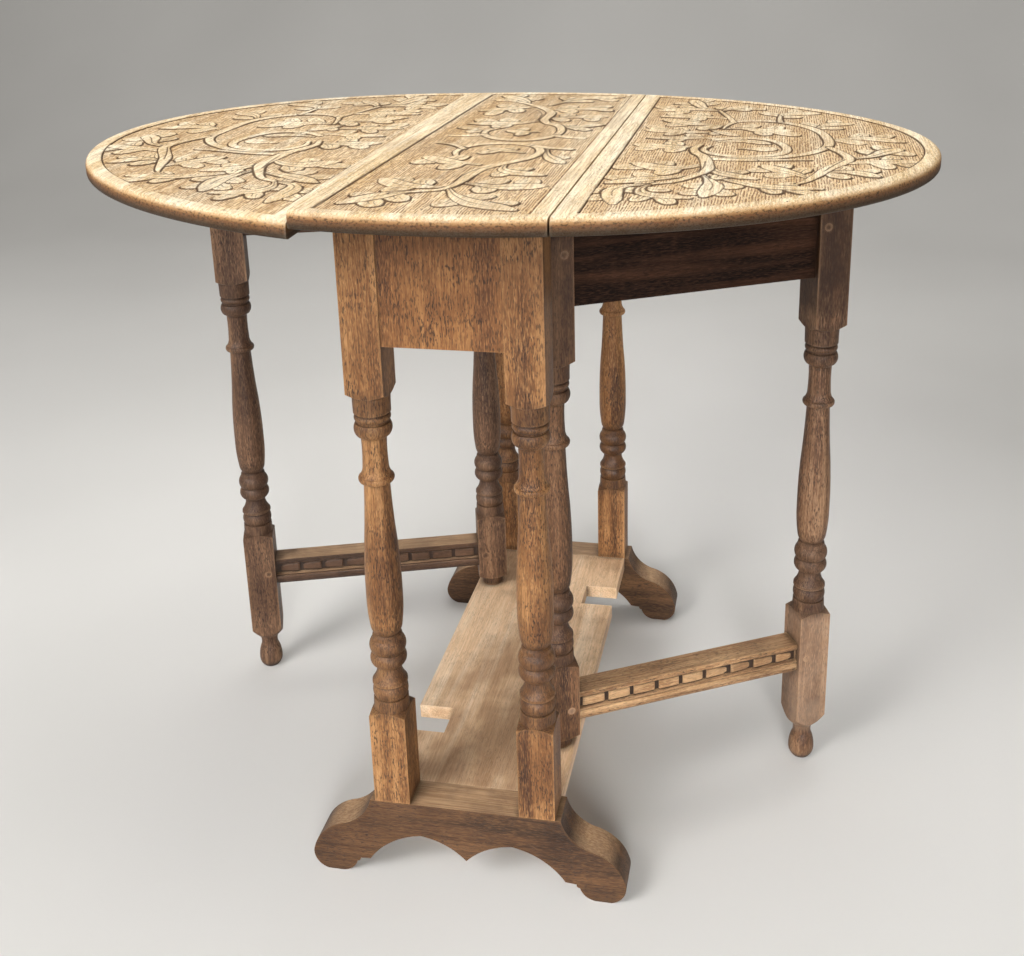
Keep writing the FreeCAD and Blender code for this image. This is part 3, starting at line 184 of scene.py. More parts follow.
LEAF_LEAVES = [
    ([(1300, 735), (1265, 738), (1230, 735), (1178, 718)], 46,
     [(1252, 690), (1258, 776), (1196, 764)]),
    ([(1335, 900), (1300, 936), (1252, 945), (1198, 908)], 50,
     [(1256, 902), (1178, 946), (1262, 990)]),
    ([(1310, 1015), (1275, 1030), (1235, 1048), (1172, 1084)], 42,
     [(1222, 1006), (1172, 1036), (1236, 1086)]),
    ([(1245, 1090), (1205, 1110), (1190, 1150), (1203, 1236)], 42,
     [(1230, 1142), (1156, 1152), (1164, 1206)]),
    ([(1250, 1088), (1236, 1130), (1255, 1168), (1326, 1186)], 36,
     [(1276, 1132), (1240, 1206), (1296, 1222)]),
    ([(1338, 1005), (1352, 1050), (1360, 1095), (1350, 1172)], 44,
     [(1324, 1092), (1398, 1092), (1322, 1148), (1386, 1150)]),
    ([(1350, 1010), (1400, 1052), (1460, 1088), (1548, 1094)], 38,
     [(1498, 1062), (1470, 1128), (1530, 1132)]),
    ([(1342, 905), (1355, 960), (1378, 992), (1434, 1024)], 38, [(1406, 968), (1366, 1024)]),
    ([(1530, 1010), (1505, 975), (1478, 948), (1444, 908)], 42,
     [(1430, 950), (1484, 904), (1520, 934), (1464, 994)]),
    ([(1555, 965), (1590, 948), (1620, 958), (1652, 986)], 38,
     [(1596, 912), (1590, 996), (1646, 936)]),
    ([(1596, 875), (1630, 858), (1680, 850), (1738, 846)], 40,
     [(1676, 898), (1690, 804), (1730, 888)]),
    ([(1606, 830), (1650, 800), (1680, 755), (1712, 722)], 42,
     [(1640, 748), (1722, 770), (1672, 700)]),
    ([(1576, 640), (1620, 616), (1670, 618), (1722, 646)], 42,
     [(1632, 664), (1644, 574), (1696, 582)]),
    ([(1545, 520), (1566, 476), (1590, 456), (1626, 446)], 38,
     [(1528, 452), (1594, 504), (1590, 412)]),
    ([(1468, 372), (1476, 340), (1506, 322), (1556, 318)], 40,
     [(1436, 326), (1504, 370), (1504, 280)]),
    ([(1328, 312), (1340, 280), (1356, 260), (1384, 232)], 36,
     [(1322, 254), (1384, 284), (1420, 268)]),
    ([(1325, 300), (1285, 262), (1264, 204), (1246, 146)], 40,
     [(1302, 190), (1218, 200), (1290, 130)]),
    ([(1325, 305), (1290, 288), (1240, 280), (1182, 304)], 40,
     [(1234, 240), (1236, 322), (1176, 252)]),
    ([(1348, 400), (1310, 388), (1270, 382), (1196, 386)], 42,
     [(1286, 346), (1276, 424), (1216, 348)]),
    ([(1348, 500), (1310, 484), (1270, 470), (1208, 434)], 46,
     [(1268, 446), (1304, 530), (1232, 492)]),
    ([(1318, 580), (1280, 574), (1240, 566), (1180, 556)], 38,
     [(1252, 532), (1236, 604), (1186, 514)]),
    ([(1335, 640), (1300, 636), (1270, 642), (1196, 646)], 36, [(1282, 604), (1250, 676)]),
    ([(1346, 530), (1390, 524), (1430, 542), (1492, 540)], 42,
     [(1412, 486), (1464, 500), (1440, 584), (1500, 588)]),
    ([(1345, 668), (1380, 662), (1415, 668), (1450, 688)], 34, [(1392, 640)]),
    ([(1395, 745), (1420, 745), (1440, 745), (1456, 742)], 46, []),
    ([(1320, 540), (1332, 560), (1352, 580), (1380, 606)], 30, [(1330, 590)]),
]


def from_drawing(points):
    """Drawing points to millimetres; the rear half is drawn a little short, the leaves a little long."""
    rows = numpy.array(points, dtype=float)
    rows[:, 0] = rows[:, 0] / DRAWING_SCALE - DRAWING_MIDDLE_X
    rows[:, 0] -= LEAF_SHORTENING * numpy.maximum(rows[:, 0] - SEAM_EDGE, 0.0)
    rows[:, 1] = DRAWING_MIDDLE_Y - rows[:, 1] / DRAWING_SCALE
    rows[:, 1] = numpy.where(rows[:, 1] > 0.0, rows[:, 1] * REAR_STRETCH, rows[:, 1])
    rows[:, 2:] = rows[:, 2:] / DRAWING_SCALE
    return rows


def flowing(rows):
    """A smooth line through the rows, all columns alike."""
    padded = numpy.vstack([2 * rows[0] - rows[1], rows, 2 * rows[-1] - rows[-2]])
    line = []
    for i in range(1, len(padded) - 2):
        a, b, c, d = padded[i - 1], padded[i], padded[i + 1], padded[i + 2]
        for t in numpy.arange(FLOW_STEPS) / FLOW_STEPS:
            line.append(0.5 * (2 * b + (c - a) * t + (2 * a - 5 * b + 4 * c - d) * t * t
                               + (3 * b - 3 * c + d - a) * t ** 3))
    line.append(padded[-2])
    return numpy.array(line)


def reach(x, y, line, widths):
    """Distance from a line less the half width there, below 0 within its width."""
    edge = numpy.full(x.shape, 1e6)
    for i in range(len(line) - 1):
        ax, ay = line[i]
        dx, dy = line[i + 1] - line[i]
        length = dx * dx + dy * dy + 1e-9
        t = numpy.clip(((x - ax) * dx + (y - ay) * dy) / length, 0.0, 1.0)
        gap = numpy.hypot(x - ax - t * dx, y - ay - t * dy)
        edge = numpy.minimum(edge, gap - (widths[i] + t * (widths[i + 1] - widths[i])))
    return edge


def window(x, y, line, margin):
    """The part of the grid near a line, as a pair of slices, or None where the line is off the grid."""
    low = line.min(axis=0) - margin
    high = line.max(axis=0) + margin
    inside = (x > low[0]) & (x < high[0]) & (y > low[1]) & (y < high[1])
    rows = numpy.where(inside.any(axis=1))[0]
    columns = numpy.where(inside.any(axis=0))[0]
    if len(rows) == 0 or len(columns) == 0:
        return None
    return slice(rows[0], rows[-1] + 1), slice(columns[0], columns[-1] + 1)


def raise_shape(x, y, z, ink, line, widths, crown):
    """Stand a swelling line up from the ground, with a line of painted shade around its foot."""
    part = window(x, y, line, widths.max() + SHAPE_MARGIN)
    if part is None:
        return
    edge = reach(x[part], y[part], line, widths)
    rise = numpy.clip(-edge / SHOULDER, 0.0, 1.0)
    dome = numpy.sqrt(1.0 - (1.0 - rise) ** 2)
    sag = crown * numpy.clip(-edge - SHOULDER, 0.0, CROWN_REACH)
    raised = -GROUND_DEPTH + (GROUND_DEPTH - RELIEF_GAP) * dome - sag
    beside = numpy.clip(1.0 - edge / DIP_WIDTH, 0.0, 1.0)
    z[part] = numpy.where(edge < 0.0, raised, z[part] - DIP_DEPTH * beside)
    swing = numpy.sin(0.045 * x[part] + 1.0) * numpy.sin(0.053 * y[part] + 0.4)
    breadth = LINE_BREADTH + LINE_SWING * swing
    # Painted shade: a dark line of varying breadth along the foot of the raised shape.
    mark = numpy.clip(LINE_STRENGTH - numpy.abs(edge - LINE_OFFSET) / breadth, 0.0, 1.0)
    ink[part] = numpy.where(edge < 0.0, mark, numpy.maximum(ink[part], mark))


def score(x, y, z, ink, line, half, depth):
    """Cut a groove along a line and paint shade into it."""
    part = window(x, y, line, half + CUT_MARGIN)
    if part is None:
        return
    gap = reach(x[part], y[part], line, numpy.zeros(len(line)))
    cut = numpy.clip(1.0 - gap / half, 0.0, 1.0)
    z[part] -= depth * cut
    ink[part] = numpy.maximum(ink[part], cut)


def carve_leaf(x, y, z, ink, midrib, width, lobes, bend):
    """A leaf whose side lobes sweep forward off the midrib, each with its veins."""
    rib = flowing(bend(from_drawing(midrib)))
    share = numpy.linspace(0.0, 1.0, len(rib))
    half = width / HALF_WIDTH_DIVISOR
    t = numpy.linspace(0.0, 1.0, LOBE_STEPS)[:, None]
    for spot in lobes:
        tip = bend(from_drawing([spot]))[0]
        near = int(numpy.argmin(numpy.hypot(*(rib - tip).T)))
        near = min(near, int(len(rib) * LOBE_LAST))
        root = rib[max(0, near - int(len(rib) * LOBE_BACK))]
        knee = rib[near] * (1.0 - LOBE_KNEE) + tip * LOBE_KNEE
        end = tip + LOBE_OVERSHOOT * (tip - rib[near])
        lobe = (1.0 - t) ** 2 * root + 2.0 * t * (1.0 - t) * knee + t ** 2 * end
        raise_shape(x, y, z, ink, lobe, half * numpy.interp(t[:, 0], *LOBE_SWELL), LEAF_CROWN)
        side = numpy.array([knee[1] - root[1], root[0] - knee[0]])
        side *= VEIN_ASIDE * half / max(float(numpy.hypot(*side)), 0.1)
        score(x, y, z, ink, lobe[2:8] + side, *VEIN_CUT)
        score(x, y, z, ink, lobe[4:8] - SIDE_VEIN_ASIDE * side, *SIDE_VEIN_CUT)
    raise_shape(x, y, z, ink, rib, half * numpy.interp(share, *RIB_SWELL), LEAF_CROWN)
    score(x, y, z, ink, rib[: int(len(rib) * MIDRIB_END)], *MIDRIB_CUT)


def carve(x, y, edge_gap, panel_gap, bands, splits, leaves, bend):
    """Height of the board's face below its top, and the painted shade of the cut lines, for every grid point.
    """
    z = numpy.full(x.shape, -GROUND_DEPTH)
    z += TOOLING * numpy.sin(x * 1.7 + 3.0 * numpy.sin(y * 0.05)) * numpy.sin(y * 0.21 + x * 0.4)
    ink = numpy.zeros(x.shape)
    for midrib, width, lobes in leaves:
        carve_leaf(x, y, z, ink, midrib, width, lobes, bend)
    for band in bands:
        rows = from_drawing(band)
        line = flowing(numpy.hstack([bend(rows[:, :2]), rows[:, 2:]]))
        raise_shape(x, y, z, ink, line[:, :2], line[:, 2] / 2.0, BAND_CROWN)
    for split in splits:
        score(x, y, z, ink, flowing(bend(from_drawing(split))), *SPLIT_CUT)
    inside = numpy.minimum(edge_gap - BORDER, panel_gap)
    z = numpy.where(inside > 0.0, numpy.maximum(z, -DEEPEST), 0.0)
    groove = numpy.clip(1.0 - numpy.abs(inside - GROOVE_OFFSET) / GROOVE_WIDTH, 0.0, 1.0)
    z -= GROOVE_DEPTH * groove
    ink = numpy.maximum(numpy.where(inside > 0.0, ink, 0.0), groove)
    return z, ink


def softened(values, cells):
    """Running mean over a square of cells, both ways."""
    for axis in (0, 1):
        padding = [(cells, cells) if k == axis else (0, 0) for k in (0, 1)]
        total = numpy.cumsum(numpy.pad(values, padding, mode="edge"), axis=axis)
        total = numpy.insert(total, 0, 0.0, axis=axis)
        size = values.shape[axis]
        high = numpy.take(total, range(2 * cells + 1, 2 * cells + 1 + size), axis=axis)
        low = numpy.take(total, range(0, size), axis=axis)
        values = (high - low) / (2 * cells + 1)
    return values


def set_in(inset, x, t, low_x, tip):
    """Plan position on the oval set in by a distance, t running from -1 to 1 between its two sides."""
    if tip:
        full = HALF_LENGTH - UPPER_ROUND - TIP_GAP
        x = low_x + (x - low_x) * (HALF_LENGTH - inset - TIP_GAP - low_x) / (full - low_x)
    depth = (HALF_DEPTH - inset) * numpy.sqrt(1.0 - (x / (HALF_LENGTH - inset)) ** 2)
    return x, t * depth


def edge_profile():
    """The moulded edge, from the face down to the underside: inset from the oval, and height."""
    profile = []
    for k in range(1, 7):
        turn = math.radians(15.0 * k)
        profile.append((UPPER_ROUND * (1.0 - math.sin(turn)), TOP - UPPER_ROUND * (1.0 - math.cos(turn))))
    for k in range(5):
        turn = math.radians(22.5 * k)
        profile.append((LOWER_ROUND * (1.0 - math.cos(turn)),
                        UNDERSIDE + LOWER_ROUND * (1.0 - math.sin(turn))))
    return profile


def linked(name, data):
    """A new object with this data, in the scene."""
    made = bpy.data.objects.new(name, data)
    bpy.context.scene.collection.objects.link(made)
    return made


def carved_board(name, low_x, high_x, side, panel, bands, splits, leaves, bend):
    """One board of the top, its face carved as a fine grid, its edge moulded; a leaf has no high_x."""
    tip = high_x is None
    if tip:
        s = numpy.linspace(0.0, 1.0, int((HALF_LENGTH - low_x) / GRID_STEP))
        span = HALF_LENGTH - UPPER_ROUND - TIP_GAP - low_x
        columns = low_x + span * (1.0 - (1.0 - s) ** TIP_CROWDING)
    else:
        columns = numpy.linspace(low_x, high_x, int((high_x - low_x) / GRID_STEP))
    across = numpy.linspace(-1.0, 1.0, int(2.0 * HALF_DEPTH / GRID_STEP))
    x, t = numpy.meshgrid(columns, across)
    x, y = set_in(UPPER_ROUND, x, t, low_x, tip)
    length = numpy.sqrt((x / HALF_LENGTH) ** 2 + (y / HALF_DEPTH) ** 2)
    slope = numpy.hypot(x / HALF_LENGTH ** 2, y / HALF_DEPTH ** 2) / numpy.maximum(length, 1e-6)
    edge_gap = (1.0 - length) / numpy.maximum(slope, 1e-6)
    panel_gap = x - panel if tip else panel - numpy.abs(x)
    z, ink = carve(side * x, y, edge_gap, panel_gap, bands, splits, leaves, bend)
    rows, wide = x.shape
    points = [numpy.stack([x.ravel(), y.ravel(), TOP + z.ravel()], axis=1)]
    index = numpy.arange(rows * wide).reshape(rows, wide)
    faces = numpy.stack([index[:-1, :-1], index[:-1, 1:], index[1:, 1:], index[1:, :-1]], axis=-1)
    faces = [tuple(face) for face in faces.reshape(-1, 4)]
    if tip:
        runs = [numpy.concatenate([index[0, :], index[1:-1, -1], index[-1, ::-1]])]
    else:
        runs = [index[0, :], index[-1, ::-1]]
    count = rows * wide
    ends = []
    down_edge = []
    for run in runs:
        before = run
        track = []
        for inset, height in edge_profile():
            down_edge += [(TOP - height) / (TOP - UNDERSIDE)] * len(run)
            px, py = set_in(inset, x.ravel()[run], t.ravel()[run], low_x, tip)
            points.append(numpy.stack([px, py, numpy.full(len(px), height)], axis=1))
            now = numpy.arange(count, count + len(run))
            count += len(run)
            strip = numpy.stack([before[1:], before[:-1], now[:-1], now[1:]], axis=-1)
            faces += [tuple(face) for face in strip]
            before = now
            track.append((now[0], now[-1]))
        first, last = (list(side_of_run) for side_of_run in zip(*track))
        ends.append((first, last, list(before[::-1])))
    if tip:
        first, last, bottom = ends[0]
        faces.append(tuple(bottom))
        faces.append(tuple(list(index[::-1, 0]) + first + last[::-1]))
    else:
        (front_left, front_right, front_bottom), (rear_right, rear_left, rear_bottom) = ends
        faces.append(tuple(front_bottom + rear_bottom))
        faces.append(tuple(list(index[::-1, 0]) + front_left + rear_left[::-1]))
        faces.append(tuple(list(index[:, -1]) + rear_right + front_right[::-1]))
    points = numpy.vstack(points) * MM
    points[:, 0] *= side
    if side < 0:
        faces = [face[::-1] for face in faces]
    mesh = bpy.data.meshes.new(name)
    mesh.from_pydata(points.tolist(), [], faces)
    mesh.polygons.foreach_set("use_smooth", [True] * len(mesh.polygons))
    mesh.set_sharp_from_angle(angle=SHARP_ANGLE)
    no_edge = numpy.zeros(len(down_edge))
    for label, on_face, on_edge in (("ink", ink, no_edge), ("broad", softened(z, SOFT_CELLS) - z, no_edge),
                                    ("sunk", -z / GROUND_DEPTH, no_edge),
                                    ("rim", numpy.zeros(z.shape), down_edge)):
        layer = mesh.attributes.new(label, "FLOAT", "POINT")
        layer.data.foreach_set("value", numpy.concatenate([on_face.ravel(), on_edge]))
    return linked(name, mesh)


class Net:
    """A material and the nodes that are added to it."""

    def __init__(self, name):
        self.material = bpy.data.materials.new(name)
        self.material.use_nodes = True
        self.tree = self.material.node_tree
        self.shader = self.tree.nodes["Principled BSDF"]

    def put(self, node, key, value):
        if isinstance(value, bpy.types.NodeSocket):
            self.tree.links.new(value, node.inputs[key])
        else:
            node.inputs[key].default_value = value

    def add(self, kind, sockets, **settings):
        made = self.tree.nodes.new(kind)
        for key, value in settings.items():
            setattr(made, key, value)
        for key, value in sockets.items():
            self.put(made, key, value)
        return made

    def sum(self, kind, a, b, c=None):
        sockets = {0: a, 1: b}
        if c is not None:
            sockets[2] = c
        return self.add("ShaderNodeMath", sockets, operation=kind).outputs[0]

    def times(self, a, b):
        return self.sum("MULTIPLY", a, b)

    def place(self):
        return self.add("ShaderNodeTexCoord", {}).outputs["Object"]

    def axes(self, vector):
        return self.add("ShaderNodeSeparateXYZ", {0: vector}).outputs

    def attribute(self, label):
        return self.add("ShaderNodeAttribute", {}, attribute_name=label).outputs["Fac"]

    def noise(self, vector, scale, detail=3.0, roughness=0.55, warp=0.0):
        sockets = {"Vector": vector, "Scale": scale, "Detail": detail, "Roughness": roughness,
                   "Distortion": warp}
        return self.add("ShaderNodeTexNoise", sockets).outputs["Fac"]

    def streaks(self, vector, amounts, detail, roughness=0.55, warp=0.0):
        """Noise drawn out by an amount along each axis."""
        drawn = self.add("ShaderNodeVectorMath", {0: vector, 1: amounts}, operation="MULTIPLY").outputs[0]
        return self.noise(drawn, 1.0, detail, roughness, warp)

    def band(self, value, low, high, start=0.0, end=1.0):
        sockets = {"Value": value, "From Min": low, "From Max": high, "To Min": start, "To Max": end}
        return self.add("ShaderNodeMapRange", sockets, clamp=True).outputs["Result"]

    def mix(self, share, first, second, kind="MIX"):
        made = self.add("ShaderNodeMix", {}, data_type="RGBA", blend_type=kind)
        self.put(made, 0, share)
        self.put(made, 6, first)
        self.put(made, 7, second)
        return made.outputs[2]

    def tint(self, base, tone):
        return self.mix(1.0, base, tone, "MULTIPLY")

    def hollow(self, distance, inside):
        sockets = {"Distance": distance}
        return self.add("ShaderNodeAmbientOcclusion", sockets, samples=6, inside=inside).outputs["AO"]

    def bump(self, height, strength, distance):
        made = self.add("ShaderNodeBump", {"Strength": strength, "Distance": distance, "Height": height})
        self.put(self.shader, "Normal", made.outputs[0])


def colour(red, green, blue):
    """A screen colour as linear light."""
    parts = []
    for part in (red, green, blue):
        part = part / 255.0
        parts.append(part / 12.92 if part <= 0.04045 else ((part + 0.055) / 1.055) ** 2.4)
    return (*parts, 1.0)


# The colours that all the oak shares.
FIBRE_TINT = colour(186, 168, 150)
STAIN_TINT = colour(160, 140, 124)
PORE = colour(46, 29, 19)
# Painted shade and dirt: the dark brown that the hollows are darkened towards.
HOLLOW_SHADE_AND_DIRT = colour(38, 25, 16)
# Pale dusty tones for faces that look up, partly dust and partly painted light.
LIT_DUST_PALE = colour(212, 176, 136)
LIT_DUST_MIDDLE = colour(166, 130, 96)
LIT_DUST_DARK = colour(136, 108, 84)

# The colours of the carved face and its moulded edge, among them the painted shade of the sunk places, the
# cut lines and the lower edge.
GROUND_TINT = colour(240, 224, 204)
STROKE = colour(120, 82, 48)
# Painted shade and dirt: the brown of places lower than their surroundings.
CAVITY_SHADE_AND_DIRT_BROWN = colour(120, 86, 54)
# Painted shade: the dark of the cut lines and grooves.
CUT_SHADE_TONE = colour(66, 41, 22)
WORM_HOLE = colour(58, 36, 22)
EDGE_TAN = colour(202, 158, 106)
# Painted shade: the browns that the moulded edge darkens to towards the underside.
EDGE_SHADE_BROWN = colour(122, 81, 49)
EDGE_SHADE_DARK = colour(42, 25, 16)
EDGE_SPECK = colour(48, 29, 18)

# How far the grain shifts from object to object, in metres along each axis.
GRAIN_SHIFT = (3.1, 1.7, 2.3)


def carved_marks(net, place, along, base, height):
    """On the carved boards: tool strokes on the ground, painted shade and dirt in sunk places, painted shade
    along the cut lines, worm holes, and the moulded edge painted darker downwards as painted shade.
    """
    ink, broad, sunk, rim = (net.attribute(label) for label in ("ink", "broad", "sunk", "rim"))
    sway = net.streaks(place, (60.0, 18.0, 60.0), 2.0)
    phase = net.sum("MULTIPLY_ADD", net.axes(place)[0], 2450.0, net.times(sway, 14.0))
    stroke = net.band(net.sum("SINE", phase, 0.0), -0.1, 0.5)
    broken = net.band(net.streaks(along, (430.0, 430.0, 110.0), 1.0), 0.42, 0.5)
    stipple = net.times(net.times(stroke, broken), net.band(sunk, 0.72, 0.95))
    base = net.mix(net.band(sunk, 0.5, 1.0, 0.0, 0.5), base, net.tint(base, GROUND_TINT))
    base = net.mix(net.times(stipple, 0.85), base, STROKE)
    # Painted shade and dirt: places lower than their surroundings are darkened brown.
    base = net.mix(net.band(broad, 0.35, 1.1, 0.0, 0.2), base, CAVITY_SHADE_AND_DIRT_BROWN)
    # Painted shade along the cuts and grooves.
    base = net.mix(net.band(ink, 0.22, 0.75, 0.0, 0.88), base, CUT_SHADE_TONE)
    cells = net.add("ShaderNodeTexVoronoi", {"Vector": place, "Scale": 95.0}).outputs
    pick = net.add("ShaderNodeSeparateColor", {0: cells["Color"]}).outputs[0]
    worm = net.times(net.band(cells["Distance"], 0.1, 0.07), net.band(pick, 0.5, 0.52))
    base = net.mix(net.times(worm, 0.85), base, WORM_HOLE)
    speck = net.band(net.streaks(place, (330.0, 330.0, 520.0), 3.0, 0.6), 0.5, 0.62)
    # Painted shade: the moulded edge goes from tan at the face to dark brown at the underside.
    edge = net.mix(net.band(rim, 0.12, 0.4), EDGE_TAN, EDGE_SHADE_BROWN)
    edge = net.mix(net.band(rim, 0.36, 0.74), edge, EDGE_SHADE_DARK)
    edge = net.mix(net.times(speck, net.band(rim, 0.08, 0.3, 0.1, 0.8)), edge, EDGE_SPECK)
    base = net.mix(net.band(rim, 0.02, 0.25, 0.0, 0.95), base, edge)
    return base, net.sum("SUBTRACT", height, net.times(stipple, 1.4))


def oak(name, tones, turn=(0.0, 0.0, 0.0), heading=0.0, hollow_shade_and_dirt=0.85, wear_and_highlight=0.35, carved=False, rough=0.52,
        pores_dark=0.85, zones=(), dust_and_top_light=0.0, gloss=0.38, grain=1.0, stain=0.6):
    """Old oak: growth bands, fibres, open pores, patches, painted shade and dirt in the hollows, and worn
    arrises lightened also as painted highlights.

    The grain runs along Z, and turn and heading lay it along another axis or a gate. The zones are heights
    with a tone of their own, in places painted shadow and painted light, and bleach pales faces that look up,
    as dust and as painted light.
    """
    dark, middle, light = (colour(*tone) for tone in tones)
    net = Net(name)
    place = net.place()
    luck = net.add("ShaderNodeObjectInfo", {}).outputs["Random"]
    steps = {axis: net.times(luck, step) for axis, step in enumerate(GRAIN_SHIFT)}
    shift = net.add("ShaderNodeCombineXYZ", steps).outputs[0]
    turned = net.add("ShaderNodeMapping", {"Vector": place, "Rotation": (0.0, 0.0, -heading)}).outputs[0]
    turned = net.add("ShaderNodeMapping", {"Vector": turned, "Rotation": turn}).outputs[0]
    along = net.add("ShaderNodeVectorMath", {0: turned, 1: shift}, operation="ADD").outputs[0]
    rings = net.streaks(along, (46.0, 46.0, 2.6), 4.0, 0.6, 0.6)
    fibre = net.streaks(along, (620.0, 620.0, 22.0), 3.0, 0.6)
    fine = net.streaks(along, (1100.0, 1100.0, 130.0), 2.0, 0.5)
    pores = net.streaks(along, (860.0, 860.0, 190.0), 1.5, 0.55, 0.3)
    patch = net.noise(along, 9.0, 3.0, 0.6)
    blotch = net.noise(along, 34.0, 3.0, 0.6, 0.4)
    base = net.mix(net.band(rings, 0.34, 0.5), dark, middle)
    base = net.mix(net.band(rings, 0.5, 0.68), base, light)
    base = net.mix(net.band(fibre, 0.4, 0.64, 0.0, 0.8 * grain), base, net.tint(base, FIBRE_TINT))
    base = net.mix(net.band(fine, 0.48, 0.7, 0.0, 0.6 * grain), base, light)
    pore = net.times(net.band(pores, 0.53, 0.62), net.band(blotch, 0.36, 0.6, 0.3, 1.0))
    base = net.mix(net.times(pore, pores_dark), base, PORE)
    base = net.mix(net.band(patch, 0.36, 0.52, stain, 0.0), base, net.tint(base, STAIN_TINT))
    for low, high, strength, tone in zones:
        level = net.axes(place)[2]
        within = net.times(net.band(level, low - 0.008, low + 0.004),
                           net.band(level, high + 0.008, high - 0.004))
        share = net.times(within, net.band(blotch, 0.32, 0.6, 0.4 * strength, strength))
        base = net.mix(share, base, colour(*tone))
    # Painted light and dust: faces that look up are paled towards the pale dusty tones.
    if dust_and_top_light:
        normal = net.add("ShaderNodeNewGeometry", {}).outputs["Normal"]
        facing_up = net.band(net.axes(normal)[2], 0.6, 0.95)
        dusty_and_lit = net.mix(net.band(fibre, 0.36, 0.62), LIT_DUST_PALE, LIT_DUST_MIDDLE)
        dusty_and_lit = net.mix(net.band(blotch, 0.4, 0.62, 0.0, 0.5), dusty_and_lit, LIT_DUST_DARK)
        base = net.mix(net.times(facing_up, dust_and_top_light), base, dusty_and_lit)
    height = net.sum("SUBTRACT", net.times(fibre, 0.5), net.times(pore, 0.7))
    if carved:
        base, height = carved_marks(net, place, along, base, height)
    # Painted shade: an occlusion mask darkens the hollows, standing also for dirt in them.
    base = net.mix(net.band(net.hollow(0.012, False), 0.88, 0.42, 0.0, hollow_shade_and_dirt), base, HOLLOW_SHADE_AND_DIRT)
    # Worn arrises: convex edges are lightened, partly real wear and partly a painted highlight on the crests.
    worn_and_highlight = net.times(net.band(net.hollow(0.004, True), 0.75, 0.4), net.band(blotch, 0.35, 0.6, 0.2, 1.0))
    base = net.mix(net.times(worn_and_highlight, wear_and_highlight), base, light)
    net.put(net.shader, "Base Color", base)
    net.put(net.shader, "Roughness", net.band(patch, 0.3, 0.7, rough - 0.1, rough + 0.14))
    net.put(net.shader, "Specular IOR Level", gloss)
    net.bump(height, 0.45, 0.0007)
    return net.material


def metal(name, tones, rough):
    """Worn iron or steel with a mottled skin: a deep tone, a pale one and rust."""
    deep, pale, rust = (colour(*tone) for tone in tones)
    net = Net(name)
    place = net.place()
    mottle = net.noise(place, 240.0, 4.0, 0.6)
    scratch = net.streaks(place, (1800.0, 120.0, 900.0), 2.0)
    base = net.mix(net.band(mottle, 0.35, 0.65), deep, pale)
    base = net.mix(net.band(mottle, 0.55, 0.7, 0.0, 0.6), base, rust)
    net.put(net.shader, "Base Color", base)
    net.put(net.shader, "Metallic", 0.85)
    net.put(net.shader, "Roughness", net.band(scratch, 0.3, 0.7, rough - 0.12, rough + 0.15))
    net.bump(mottle, 0.3, 0.0003)
    return net.material


# The gates' pivots in millimetres and their headings at rest, and the turns that lay the grain level.
GATE_PIVOTS = {"right": (73.5, -155.0, 0.0), "left": (-73.5, 155.0, 0.0)}
RIGHT_ANGLE = math.radians(28.8)
LEFT_ANGLE = math.radians(198.8)
QUARTER = math.pi / 2.0
ACROSS_Y = (QUARTER, 0.0, 0.0)
ACROSS_X = (0.0, -QUARTER, 0.0)

# Zones: from and to in metres above the floor, how much of the tone, and the tone. The turned stretches have
# kept more of the dark old polish; on the right gate's upper squares the same dark tone is painted shadow
# under the top. Its leg's lower square is painted paler, as painted light.
POLISH_AND_SHADOW = (56, 35, 22)
PAINTED_LIGHT_PALE = (190, 160, 134)
TURNINGS = ((0.191, 0.284, 0.6, POLISH_AND_SHADOW), (0.486, 0.527, 0.5, POLISH_AND_SHADOW))
# The right gate's leg: painted shadow on its upper square, painted light on its lower square.
RIGHT_LEG_ZONES = (*TURNINGS, (0.545, 0.72, 0.85, POLISH_AND_SHADOW), (0.04, 0.188, 0.34, PAINTED_LIGHT_PALE))
# The pivot post: painted shadow on its upper part.
RIGHT_POST_ZONES = (*TURNINGS, (0.53, 0.72, 0.7, POLISH_AND_SHADOW))

